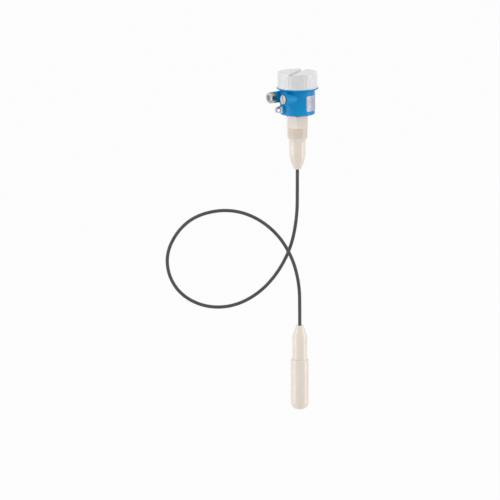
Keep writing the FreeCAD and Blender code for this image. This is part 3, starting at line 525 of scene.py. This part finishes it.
ROWS = {
    "terminal_screws": {
        "corners": [(TERMINAL_SCREW[0], 0, 0.35), (*TERMINAL_SCREW, 0.3)],
        "row": {"Count": 4, "Pitch": TERMINAL_PITCH * MM, "Across": TERMINAL_OFFSET * MM,
                "Height": TERMINAL_SCREW_TOP * MM}},
    "insert_screws": {
        "corners": [(INSERT_HEAD[0], 0, 0.7), (*INSERT_HEAD, 0), (INSERT_SHANK[0], INSERT_HEAD[1], 0),
                    (*INSERT_SHANK, 0.4)],
        "row": {"Count": 2, "Pitch": INSERT_SPACING * MM, "Across": 0,
                "Height": INSERT_SCREW_TOP * MM}},
}
for node, sizes in ROWS.items():
    corners = [(0, 0, 0), *sizes["corners"], (0, sizes["corners"][-1][1], 0)]
    one = add_object("one_screw", skin(turned(rounded(corners, 4, 0.1), 32)))
    carve(one, block((SLOT_LENGTH, SLOT_WIDTH, 2 * SLOT_DEPTH), (0, 0, 0)))
    screws = add_object(node + "_slotted", grow(one, tree, sizes["row"]))
    dress(screws, screw_steel)
    fit(screws, "head", node)


# Rating plate: thin anodised sheet bent round the body, bare but for the ruled lines of an
# empty form.
PLATE_RADIUS = 41.7
PLATE_TURN = -57.5
PLATE_BOTTOM = 42.8
PLATE_TOP = 79.3
RULE_PITCH = 3.4
RULE_SHARE = 0.24
RULE_STRENGTH = 0.6
MARGIN = 3.0
PLATE_HALF = 26.5
plate_metal, shader, place = new_finish("anodised_plate", {"Metallic": 0.3})
bearing = place.maths("ARCTAN2", place.axis("Y"), place.axis("X"))
across = (bearing - math.radians(PLATE_TURN)) * PLATE_RADIUS
height = place.axis("Z") / MM
rules = place.maths("FRACT", (height - PLATE_BOTTOM) / RULE_PITCH) < RULE_SHARE
inside = (place.maths("ABSOLUTE", across) < PLATE_HALF - MARGIN) * (height > PLATE_BOTTOM + MARGIN)
printed = rules * inside * (height < PLATE_TOP - MARGIN)
sheet = place.noise(9, 3.0).ramp(0.3, 0.7).blend(tone(170, 168, 182), tone(181, 180, 192))
(printed * RULE_STRENGTH).blend(sheet, tone(112, 112, 128)).feed(shader, "Base Color")
place.noise(1.2, 3.0).ramp(0.3, 0.7, 0.36, 0.46).feed(shader, "Roughness")
emboss(place.noise(0.5), shader, 0.01, 0.3)
paint_node("rating_plate", plate_metal)


# Cable gland: a nickel-plated brass body screwed into the rear entry over a black washer, with a
# rubber sealing insert, a slip ring and a nut that squeezes them round a cable.
def sideways(y, height):
    """Turns a form made along the upright axis to point out of the housing's side."""
    return lambda x, across, out: (-out, y + across, height + x)


ENTRY_HEIGHT = 73.8
ENTRY_OFFSET = 20.0
ENTRY_PITCH = 1.5
ENTRY_DEPTH = 0.8
ENTRY_RUN_OUT = 1.0
ENTRY_FACE = 54.0
ENTRY_INNER = 43.0
GLAND_FLATS = 24.0
GLAND_BEVEL = 1.07
GLAND_HEX = (55.5, 59.0)
GLAND_BORE = 7.0
CROWN_RADIUS = 10.0
CROWN_CHAMFER = 9.4
CROWN_END = 64.5
INSERT_ROOM = 8.5
INSERT_RADIUS = 8.45
INSERT_START = 56.5
CABLE_RADIUS = 3.5
NUT_HEX = (60.0, 65.4)
NUT_BORE = 10.3
NUT_ROOM = 66.1
NUT_MOUTH = 6.5
NUT_END = 68.0
NOSE_RADIUS = 10.8
WASHER_RADIUS = 12.5
WASHER_BORE = 10.05
gland_corner = GLAND_FLATS / math.sqrt(3)
gland_radius = hexagon(GLAND_FLATS)
gland_place = sideways(ENTRY_OFFSET, ENTRY_HEIGHT)


def hexagon_outline(low, high):
    """Side of a hexagon between two heights, its corners turned off at both ends."""
    bevel = GLAND_BEVEL
    return (straight((GLAND_FLATS / 2, low), (gland_corner, low + bevel), 0.18)
            + straight((gland_corner, low + bevel + 0.1), (gland_corner, high - bevel - 0.1), 2)
            + straight((gland_corner, high - bevel), (GLAND_FLATS / 2, high), 0.18))


def entry_thread(angle, radius, height, bottom, top):
    """Radius on the thread of the cable entries, which the gland and the plug share."""
    return threaded(angle, radius, height, bottom, top, ENTRY_PITCH, ENTRY_DEPTH)


def gland_shape(angle, radius, height):
    if radius == CROWN_RADIUS and height < GLAND_HEX[0]:
        return entry_thread(angle, radius, height, ENTRY_INNER - ENTRY_RUN_OUT, GLAND_HEX[0])
    if radius == CROWN_RADIUS:
        return entry_thread(angle, radius, height, GLAND_HEX[1], CROWN_END + ENTRY_RUN_OUT)
    return min(radius, gland_radius(angle))


outline = [(GLAND_BORE, ENTRY_INNER), (CROWN_CHAMFER, ENTRY_INNER)]
outline += straight((CROWN_RADIUS, ENTRY_INNER + 0.2), (CROWN_RADIUS, GLAND_HEX[0]), 0.2)
outline += hexagon_outline(*GLAND_HEX)
outline += straight((CROWN_RADIUS, GLAND_HEX[1]), (CROWN_RADIUS, CROWN_END - 0.3), 0.2)
outline += [(CROWN_CHAMFER, CROWN_END), (INSERT_ROOM, CROWN_END), (INSERT_ROOM, INSERT_START),
            (GLAND_BORE, INSERT_START)]
gland_body = add_object("gland_body_turned", skin(
    turned(outline, 96, gland_shape), gland_place, loop=True))
dress(gland_body, nickel)
fit(gland_body, "head", "gland_body")

outline = hexagon_outline(*NUT_HEX)
outline += bowed((GLAND_FLATS / 2, NUT_HEX[1]), (NOSE_RADIUS, NUT_END), 0.5, 8)
outline += rounded([(NOSE_RADIUS, NUT_END, 0), (NUT_MOUTH, NUT_END, 0.8), (NUT_MOUTH, NUT_ROOM, 0),
                    (NUT_BORE, NUT_ROOM, 0), (NUT_BORE, NUT_HEX[0], 0)])
gland_nut = add_object("gland_nut_turned", skin(
    turned(outline, 144, lambda angle, radius, height: min(radius, gland_radius(angle))),
    gland_place, loop=True))
dress(gland_nut, nickel)
fit(gland_nut, "gland_nut", "gland_nut")


def add_ring(name, corners, where, count=96):
    """Ring with rounded edges, by the corners of its section."""
    return add_object(name, skin(turned(rounded(corners, 4, 0.1), count), where, loop=True))


pale_rubber = rubbery("pale_rubber", (206, 204, 200), (192, 190, 186))
gland_insert = add_ring("gland_insert_rubber", [
    (INSERT_RADIUS, INSERT_START, 0.3), (INSERT_RADIUS, CROWN_END, 0.3),
    (CABLE_RADIUS, CROWN_END, 0.8), (CABLE_RADIUS, INSERT_START, 0.6)], gland_place)
dress(gland_insert, pale_rubber)
fit(gland_insert, "head", "gland_insert")
gland_washer = add_ring("gland_washer_rubber", [
    (WASHER_RADIUS, ENTRY_FACE, 0.4), (WASHER_RADIUS, GLAND_HEX[0], 0.4),
    (WASHER_BORE, GLAND_HEX[0], 0.2), (WASHER_BORE, ENTRY_FACE, 0.2)], gland_place)
dress(gland_washer, black_rubber)
fit(gland_washer, "head", "gland_washer")
paint_node("gland_thrust_ring", nickel)


# Blanking plug: nickel-plated brass with a slot for a driver across its round head, screwed
# into the front entry on a dark sealing ring.
PLUG_THREAD = 9.7
PLUG_CHAMFER = 9.0
PLUG_SEAT = 54.6
PLUG_HEAD = 11.0
PLUG_END = 56.0
PLUG_SLOT = (26.0, 2.6, 1.6)
PLUG_SLOT_TURN = 20.0
plug_place = sideways(-ENTRY_OFFSET, ENTRY_HEIGHT)


def plug_shape(angle, radius, height):
    if radius != PLUG_THREAD:
        return radius
    return entry_thread(angle, radius, height, ENTRY_INNER - ENTRY_RUN_OUT, PLUG_SEAT)


outline = [(0, ENTRY_INNER), (PLUG_CHAMFER, ENTRY_INNER)]
outline += straight((PLUG_THREAD, ENTRY_INNER + 0.3), (PLUG_THREAD, PLUG_SEAT), 0.2)
outline += rounded([(PLUG_HEAD - 0.3, PLUG_SEAT, 0), (PLUG_HEAD, PLUG_SEAT + 0.3, 0),
                    (PLUG_HEAD, PLUG_END, 0.6), (0, PLUG_END, 0)])
blanking_plug = add_object("blanking_plug_turned", skin(turned(outline, 96, plug_shape)))
carve(blanking_plug, block(PLUG_SLOT, (0, 0, PLUG_END), math.radians(PLUG_SLOT_TURN)))


def stand(piece, where):
    """Moves a form that was carved on the upright axis to its place."""
    for vertex in piece.data.vertices:
        vertex.co = Vector(where(*(vertex.co / MM))) * MM


stand(blanking_plug, plug_place)
dress(blanking_plug, nickel)
fit(blanking_plug, "plug", "blanking_plug")
SEAL_BOTTOM = ENTRY_FACE + 0.05
SEAL_TOP = PLUG_SEAT - 0.03
SEAL_ROUND = 0.15
SEAL_RADIUS = 12.3
plug_seal = add_ring("plug_seal_rubber", [
    (SEAL_RADIUS, SEAL_BOTTOM, SEAL_ROUND), (SEAL_RADIUS, SEAL_TOP, SEAL_ROUND),
    (WASHER_BORE, SEAL_TOP, SEAL_ROUND), (WASHER_BORE, SEAL_BOTTOM, SEAL_ROUND)], plug_place)
dress(plug_seal, black_rubber)
fit(plug_seal, "plug_ring", "plug_seal")


# Earth terminal: a bent steel stirrup on the earth boss, with a spring washer and a slotted
# hexagon screw that clamps an outer earth wire.
EARTH_HEIGHT = 47.0
CLAMP_HEIGHT = 15.0
CLAMP_WIDTH = 13.0
CLAMP_START = 46.05
CLAMP_END = 52.55
CLAMP_SHEET = 2.2
CLAMP_BEND = 0.9
SPRING_RADIUS = 5.2
SPRING_END = 53.95
SPRING_SPLIT = (5.0, 0.5, 4.0)
HEAD_START = 54.0
HEAD_END = 60.5
HEAD_FLATS = 11.5
HEAD_BEVEL = 0.5
SHANK_RADIUS = 2.5
SHANK_CHAMFER = 2.1
SHANK_START = 37.3
SHANK_PITCH = 0.8
SHANK_DEPTH = 0.45
SHANK_RUN_OUT = 0.6
BOLT_HOLE = 2.8
HEAD_SLOT = (24.0, 1.6, 4.4)
earth_place = sideways(0, EARTH_HEIGHT)
head_corner = HEAD_FLATS / math.sqrt(3)
head_radius = hexagon(HEAD_FLATS)


def stirrup():
    """Sheet bent over its wire slot, as one outline drawn out along the sheet's width."""
    half = CLAMP_WIDTH / 2
    inner = half - CLAMP_SHEET
    sheet_under = CLAMP_END - CLAMP_SHEET
    outer_bend = CLAMP_BEND + 0.6
    bends = rounded([(half, CLAMP_START, 0.3), (half, CLAMP_END, outer_bend),
                     (-half, CLAMP_END, outer_bend), (-half, CLAMP_START, 0.3),
                     (-inner, CLAMP_START, 0.3), (-inner, sheet_under, CLAMP_BEND),
                     (inner, sheet_under, CLAMP_BEND), (inner, CLAMP_START, 0.3)], 5, 0.05)
    edge = CLAMP_HEIGHT / 2
    return [[(x, across, out) for across, out in bends] for x in (-edge, edge)]


def capped(rings):
    """Mesh over rings of points whose two ends are closed by flat faces."""
    mesh = skin(rings)
    work = bmesh.new()
    work.from_mesh(mesh)
    bmesh.ops.holes_fill(work, edges=[edge for edge in work.edges if edge.is_boundary])
    bmesh.ops.recalc_face_normals(work, faces=work.faces)
    work.to_mesh(mesh)
    work.free()
    return mesh


earth_steel = machined("stainless_steel", (190, 190, 198), (172, 172, 182), 0.4)
ground_clamp = add_object("ground_clamp_bent", capped(stirrup()))
carve(ground_clamp, skin(turned([(0, CLAMP_START), (BOLT_HOLE, CLAMP_START), (BOLT_HOLE, HEAD_START),
                                 (0, HEAD_START)], 48)))
stand(ground_clamp, earth_place)
dress(ground_clamp, earth_steel)
fit(ground_clamp, "earth_clamp", "ground_clamp")

ground_washer = add_ring("ground_washer_split", [
    (SPRING_RADIUS, CLAMP_END, 0.2), (SPRING_RADIUS, SPRING_END, 0.2),
    (BOLT_HOLE, SPRING_END, 0.2), (BOLT_HOLE, CLAMP_END, 0.2)], upright, 64)
carve(ground_washer, block(SPRING_SPLIT, ((SPRING_RADIUS + BOLT_HOLE) / 2, 0, SPRING_END)))
stand(ground_washer, earth_place)
dress(ground_washer, earth_steel)
fit(ground_washer, "earth_clamp", "ground_washer")


def earth_screw_shape(angle, radius, height):
    if radius == SHANK_RADIUS:
        return threaded(angle, radius, height, SHANK_START - SHANK_RUN_OUT, HEAD_START,
                        SHANK_PITCH, SHANK_DEPTH)
    return min(radius, head_radius(angle))


outline = [(0, SHANK_START), (SHANK_CHAMFER, SHANK_START)]
outline += straight((SHANK_RADIUS, SHANK_START + 0.2), (SHANK_RADIUS, HEAD_START), 0.1)
outline += straight((HEAD_FLATS / 2, HEAD_START), (head_corner, HEAD_START), 0.4)
outline += straight((head_corner, HEAD_START + 0.2), (head_corner, HEAD_END - HEAD_BEVEL - 0.1), 2)
outline += straight((head_corner, HEAD_END - HEAD_BEVEL), (HEAD_FLATS / 2, HEAD_END), 0.12)
outline += [(0, HEAD_END)]
ground_screw = add_object("ground_screw_turned", skin(turned(outline, 72, earth_screw_shape)))
carve(ground_screw, block(HEAD_SLOT, (0, 0, HEAD_END)))
stand(ground_screw, earth_place)
dress(ground_screw, earth_steel, 20)
fit(ground_screw, "earth_screw", "ground_screw")


# Cover: an aluminium die casting in pale grey powder coat, screwed down on an O-ring. Flutes
# round its side give grip, and a groove across its top takes a bar.
COVER_BOTTOM = 95.2
COVER_TOP = 132.2
COVER_EDGE = 2.5
COVER_FLAT = 30.0
COVER_ROOF = 122.2
COVER_BORE = 40.0
SKIRT_RADIUS = 46.25
BEAD_RADIUS = 47.5
BEAD_TOP = 99.7
BEAD_SLOPE = 98.45
SEAL_ROOM = (45.3, 98.2)
THREAD_ROOM = (42.3, 106.7)
FLUTE_COUNT = 30
FLUTE_WIDTH = 5.6
FLUTE_DEPTH = 0.5
FLUTE_TOP = 126.2
FLUTE_FADE = 2.0
GROOVE_WIDTH = 13.0
GROOVE_DEPTH = 5.0
GROOVE_TURN = 37.0
GROOVE_LIP = 1.6
GROOVE_FOOT = 2.0


def cover_shape(angle, radius, height):
    if radius != SKIRT_RADIUS or height > FLUTE_TOP:
        return radius
    pitch = 360 / FLUTE_COUNT
    off = (math.degrees(angle) - GROOVE_TURN) % pitch - pitch / 2
    share = min(abs(math.radians(off)) * SKIRT_RADIUS / (FLUTE_WIDTH / 2), 1)
    end = min((FLUTE_TOP - height) / FLUTE_FADE, 1)
    return radius - FLUTE_DEPTH * (1 - share ** 2) * end * (2 - end)


def groove_bar():
    """Bar whose section is the groove, with rounded foot corners and lips that flare open."""
    half = GROOVE_WIDTH / 2
    foot = COVER_TOP - GROOVE_DEPTH
    lip = COVER_TOP + 0.02
    wide = half + 2 * GROOVE_LIP
    section = rounded([(half, foot, GROOVE_FOOT), (half, lip, GROOVE_LIP), (wide, lip, 0),
                       (wide, lip + 1, 0), (-wide, lip + 1, 0), (-wide, lip, 0),
                       (-half, lip, GROOVE_LIP), (-half, foot, GROOVE_FOOT)], 6, 0.05)
    turn = math.radians(GROOVE_TURN)
    ends = []
    for x in (-2 * SKIRT_RADIUS, 2 * SKIRT_RADIUS):
        ends.append([(x * math.cos(turn) - across * math.sin(turn),
                      x * math.sin(turn) + across * math.cos(turn), z) for across, z in section])
    return capped(ends)


outline = [(0, COVER_TOP)]
outline += rounded([(COVER_FLAT, COVER_TOP, 0), (SKIRT_RADIUS, COVER_TOP, COVER_EDGE),
                    (SKIRT_RADIUS, FLUTE_TOP + 0.5, 0)], 8)
outline += straight((SKIRT_RADIUS, FLUTE_TOP), (SKIRT_RADIUS, FLUTE_TOP - FLUTE_FADE), 0.25)
outline += straight((SKIRT_RADIUS, FLUTE_TOP - FLUTE_FADE - 1), (SKIRT_RADIUS, BEAD_TOP + 0.2), 4)
outline += rounded([(SKIRT_RADIUS + 0.05, BEAD_TOP, 0), (BEAD_RADIUS, BEAD_SLOPE, 0.6),
                    (BEAD_RADIUS, COVER_BOTTOM, 0.5), (SEAL_ROOM[0], COVER_BOTTOM, 0), (*SEAL_ROOM, 0),
                    (THREAD_ROOM[0], SEAL_ROOM[1], 0), (*THREAD_ROOM, 0),
                    (COVER_BORE, THREAD_ROOM[1], 0), (COVER_BORE, COVER_ROOF, 2.0), (0, COVER_ROOF, 0)])
grey_coat, shader, place, coat, sheen = coated("grey_powder_coat", (221, 221, 222), (214, 214, 216),
                                               {"IOR": 1.5})
coat.feed(shader, "Base Color")
sheen.feed(shader, "Roughness")
cover = add_object("cover_casting", skin(turned(outline, 480, cover_shape)))
carve(cover, groove_bar())
dress(cover, grey_coat)
fit(cover, "cover", "cover")
paint_node("cover_seal", black_rubber)


# Rope: steel strands under a smooth dark sheath, stiff enough to hold one open loop. It runs from
# the ferrule in the process connection to the ferrule in the lower probe.
ROPE_DIAMETER = 8.0
ROPE_TURN = math.radians(-35)
PROBE_STEP = 6.0
ROPE_END = -490.7
ROPE_STEPS = 620
ROPE_SIDES = 54
STRANDS = 9
STRAND_RELIEF = 0.04
STRAND_LAY = 70.0
ROUTE = [
    (0, 0, ROPE_START),
    (0, 0, -144),
    (-0.5, -4, -213),
    (-14, -9, -287),
    (-48, -10, -353),
    (-95, -10, -402),
    (-154, -8, -430),
    (-217, -6, -430),
    (-272, -4, -402),
    (-303, -1, -354),
    (-307, 2, -296),
    (-277, 4, -240),
    (-232, 6, -206),
    (-166, 8, -193),
    (-103, 9, -208),
    (-47, 10, -250),
    (-11, 9, -309),
    (5, 4, -374),
    (PROBE_STEP, 0, -436),
    (PROBE_STEP, 0, ROPE_END),
]


def in_rope_plane(along, front, height):
    """Point of the head's frame from a point of the plane that the rope's loop hangs in."""
    x = along * math.cos(ROPE_TURN) + front * math.sin(ROPE_TURN)
    y = along * math.sin(ROPE_TURN) - front * math.cos(ROPE_TURN)
    return x, y, height


line = bpy.data.curves.new("rope_line", "CURVE")
line.dimensions = "3D"
line.twist_mode = "MINIMUM"
spline = line.splines.new("NURBS")
spline.points.add(len(ROUTE) - 1)
for point, place in zip(spline.points, ROUTE):
    point.co = (*(Vector(in_rope_plane(*place)) * MM), 1)
spline.order_u = 3
spline.use_endpoint_u = True
spline.resolution_u = 24
rope_line = add_object("rope_line", line)
ready_line = rope_line.evaluated_get(bpy.context.evaluated_depsgraph_get())
centre_line = bpy.data.meshes.new_from_object(ready_line)

sheath, shader, place = new_finish("rope_sheath", {"IOR": 1.5})
place.noise(14, 4.0).ramp(0.3, 0.7).blend(tone(58, 57, 60), tone(68, 67, 70)).feed(shader, "Base Color")
place.noise(3).ramp(0.3, 0.7, 0.5, 0.6).feed(shader, "Roughness")
emboss(place.noise(0.8), shader, 0.005, 0.3)
tree, (curve, radius, relief, strands, lay) = new_tree(
    "laid_rope", ["Radius", "Relief", "Strands", "Lay"])
walked = curve.node("GeometryNodeSplineParameter", {}, {}, "Length")
path = curve.node("GeometryNodeResampleCurve", {}, {"Curve": curve, "Count": ROPE_STEPS})
path = path.node("GeometryNodeSetCurveTilt", {}, {"Curve": path, "Tilt": walked * (2 * math.pi) / lay})
section = radius.node("GeometryNodeCurvePrimitiveCircle", {}, {
    "Resolution": ROPE_SIDES, "Radius": radius})
spot = section.node("GeometryNodeInputPosition", {}, {})
angle = spot.maths("ARCTAN2", spot.axis("Y"), spot.axis("X"))
dip = (spot.maths("COSINE", angle * strands) - 1) * relief * 0.5 / radius
offset = dip.node("ShaderNodeVectorMath", {"operation": "SCALE"}, {0: spot, "Scale": dip})
section = section.node("GeometryNodeSetPosition", {}, {"Geometry": section, "Offset": offset})
tube = path.node("GeometryNodeCurveToMesh", {}, {
    "Curve": path, "Profile Curve": section, "Fill Caps": True})
end_tree(tree, tube, sheath)
rope = add_object("rope_sheathed", grow(rope_line, tree, {
    "Radius": ROPE_DIAMETER / 2 * MM, "Relief": STRAND_RELIEF * MM, "Strands": STRANDS,
    "Lay": STRAND_LAY * MM}))
dress(rope, sheath, 50)
fit(rope, "head", "rope")
paint_node("upper_rope_anchor", earth_steel)
paint_node("lower_rope_anchor", earth_steel)


# Lower probe: a cream neck that takes the rope's ferrule and a wider cream body welded to it,
# round at its lower end. Two metal sleeves inside the body are its electrodes.
PROBE_TIP = -472.0
TIP_RADIUS = 8.8
PROBE_NECK_RADIUS = 17.8
PROBE_CONE = ((TIP_RADIUS, -472.6), (PROBE_NECK_RADIUS, -497.6))
NECK_STRETCH = (-498.2, -553.2)
SPIGOT = (17.05, -565.8)
PROBE_BODY_TOP = -553.8
PROBE_END = -672.8
BODY_RADIUS = 21.4
BODY_ROUND = 16.0
BODY_BORE = 17.4
BODY_FLOOR = -663.8
probe_axis = Vector(in_rope_plane(PROBE_STEP, 0, 0))


def beside(x, y, z):
    return Vector((x, y, z)) + probe_axis


outline = rounded([(ROPE_HOLE, ROPE_END, 0), (ROPE_HOLE, PROBE_TIP, 0.6), (TIP_RADIUS, PROBE_TIP, 0.15),
                   (*PROBE_CONE[0], 0)])
outline += bowed(*PROBE_CONE, 0.2) + [PROBE_CONE[1]]
outline += [(PROBE_NECK_RADIUS, height) for height in (*NECK_STRETCH, PROBE_BODY_TOP)]
outline += [(SPIGOT[0], PROBE_BODY_TOP), SPIGOT, (SOCKET_RADIUS, SPIGOT[1]), (SOCKET_RADIUS, ROPE_END)]
probe_neck = add_object("probe_neck_turned", skin(turned(outline, 128), beside, loop=True))
dress(probe_neck, cream)
fit(probe_neck, "head", "probe_neck")
outline = rounded([(0, BODY_FLOOR, 0), (BODY_BORE, BODY_FLOOR, 0), (BODY_BORE, PROBE_BODY_TOP, 0),
                   (BODY_RADIUS, PROBE_BODY_TOP, 1.5), (BODY_RADIUS, PROBE_END, BODY_ROUND),
                   (0, PROBE_END, 0)], 12)
probe_body = add_object("probe_body_turned", skin(turned(outline, 128), beside))
dress(probe_body, cream)
fit(probe_body, "head", "probe_body")
paint_node("guard_electrode", earth_steel)
paint_node("sensing_electrode", earth_steel)


# Studio: the part hangs well above a pale floor, with white all round, a tall lamp on each side
# of the view, a dim strip behind the left one, a broad lamp above, and the camera where the
# photographer stood. Lamps, floor size and view are in metres.
VIEW_TURN = -35.0
VIEW_RISE = 10.8
VIEW_DISTANCE = 20.0
VIEW_WIDTH = 1.1735
VIEW_AIM = Vector((-0.0909, 0.0637, -0.2922))
FLOOR_DROP = 1200.0
FLOOR_SIZE = 30.0
SENSOR = 36.0
FULL_LIGHT = math.pi ** 2
LAMP_DISTANCE = 3.0
AMBIENT = 0.69
WHITE = (1, 1, 1, 1)
FLOOR_GREY = (0.86, 0.86, 0.86, 1)
FLOOR_ROUGHNESS = 0.9
FLOOR_GLOW = 1.0
FLOOR_SHARE = 0.94


def from_view(turn, rise):
    """Direction from the object, turned from the view and raised."""
    turn, rise = math.radians(VIEW_TURN + turn), math.radians(rise)
    return Vector((math.sin(turn) * math.cos(rise), -math.cos(turn) * math.cos(rise), math.sin(rise)))


def add_lamp(name, turn, rise, size, share):
    """Broad soft lamp that gives a share of full light on the object."""
    lamp = bpy.data.lights.new(name, "AREA")
    lamp.shape = "RECTANGLE"
    lamp.size, lamp.size_y = size
    lamp.energy = share * FULL_LIGHT * LAMP_DISTANCE ** 2
    stand_at = add_object(name, lamp)
    stand_at.location = VIEW_AIM + from_view(turn, rise) * LAMP_DISTANCE
    stand_at.rotation_euler = from_view(turn, rise).to_track_quat("Z", "Y").to_euler()


add_lamp("left_lamp", turn=-69, rise=3, size=(0.9, 2.6), share=0.39)
add_lamp("left_card", turn=-110, rise=10, size=(0.5, 2.0), share=0.03)
add_lamp("right_lamp", turn=80, rise=3, size=(0.7, 2.6), share=0.35)
add_lamp("top_lamp", turn=0, rise=80, size=(2.4, 2.4), share=0.22)


def seen_by_eye(tree):
    """1 for the camera's own rays and for those that metal and glass mirror or let through, else 0."""
    path = tree.nodes.new("ShaderNodeLightPath")
    direct, mirrored, through = [
        Value(path.outputs[name]) for name in ("Is Camera Ray", "Is Glossy Ray", "Is Transmission Ray")]
    return direct.maths("MAXIMUM", direct, direct.maths("MAXIMUM", mirrored, through))


world = bpy.data.worlds.new("studio")
bpy.context.scene.world = world
world.use_nodes = True
background = world.node_tree.nodes["Background"]
seen = seen_by_eye(world.node_tree)
seen.ramp(0, 1, AMBIENT, 1.0).feed(background, "Strength")
background.inputs["Color"].default_value = WHITE

pale = bpy.data.materials.new("pale_floor")
pale.use_nodes = True
shader = pale.node_tree.nodes["Principled BSDF"]
shader.inputs["Base Color"].default_value = FLOOR_GREY
shader.inputs["Roughness"].default_value = FLOOR_ROUGHNESS
seen = seen_by_eye(pale.node_tree)
glow = seen.node("ShaderNodeEmission", {}, {"Color": WHITE, "Strength": FLOOR_GLOW})
mixed = seen.node("ShaderNodeMixShader", {}, {
    0: seen * FLOOR_SHARE, 1: Value(shader.outputs[0]), 2: glow})
pale.node_tree.links.new(mixed.socket, pale.node_tree.nodes["Material Output"].inputs["Surface"])
side = FLOOR_SIZE / 2
floor_height = (PROBE_END - FLOOR_DROP) * MM
sheet = bpy.data.meshes.new("floor")
sheet.from_pydata([(-side, -side, floor_height), (side, -side, floor_height), (side, side, floor_height),
                   (-side, side, floor_height)], [], [(0, 1, 2, 3)])
sheet.materials.append(pale)
floor = add_object("floor", sheet)

lens = bpy.data.cameras.new("camera")
lens.sensor_width = SENSOR
lens.lens = SENSOR * VIEW_DISTANCE / VIEW_WIDTH
lens.clip_end = 10 * VIEW_DISTANCE
camera = add_object("camera", lens)
camera.location = VIEW_AIM + from_view(0, VIEW_RISE) * VIEW_DISTANCE
camera.rotation_euler = from_view(0, VIEW_RISE).to_track_quat("Z", "Y").to_euler()
bpy.context.scene.camera = camera
bpy.context.scene.view_settings.view_transform = "Standard"
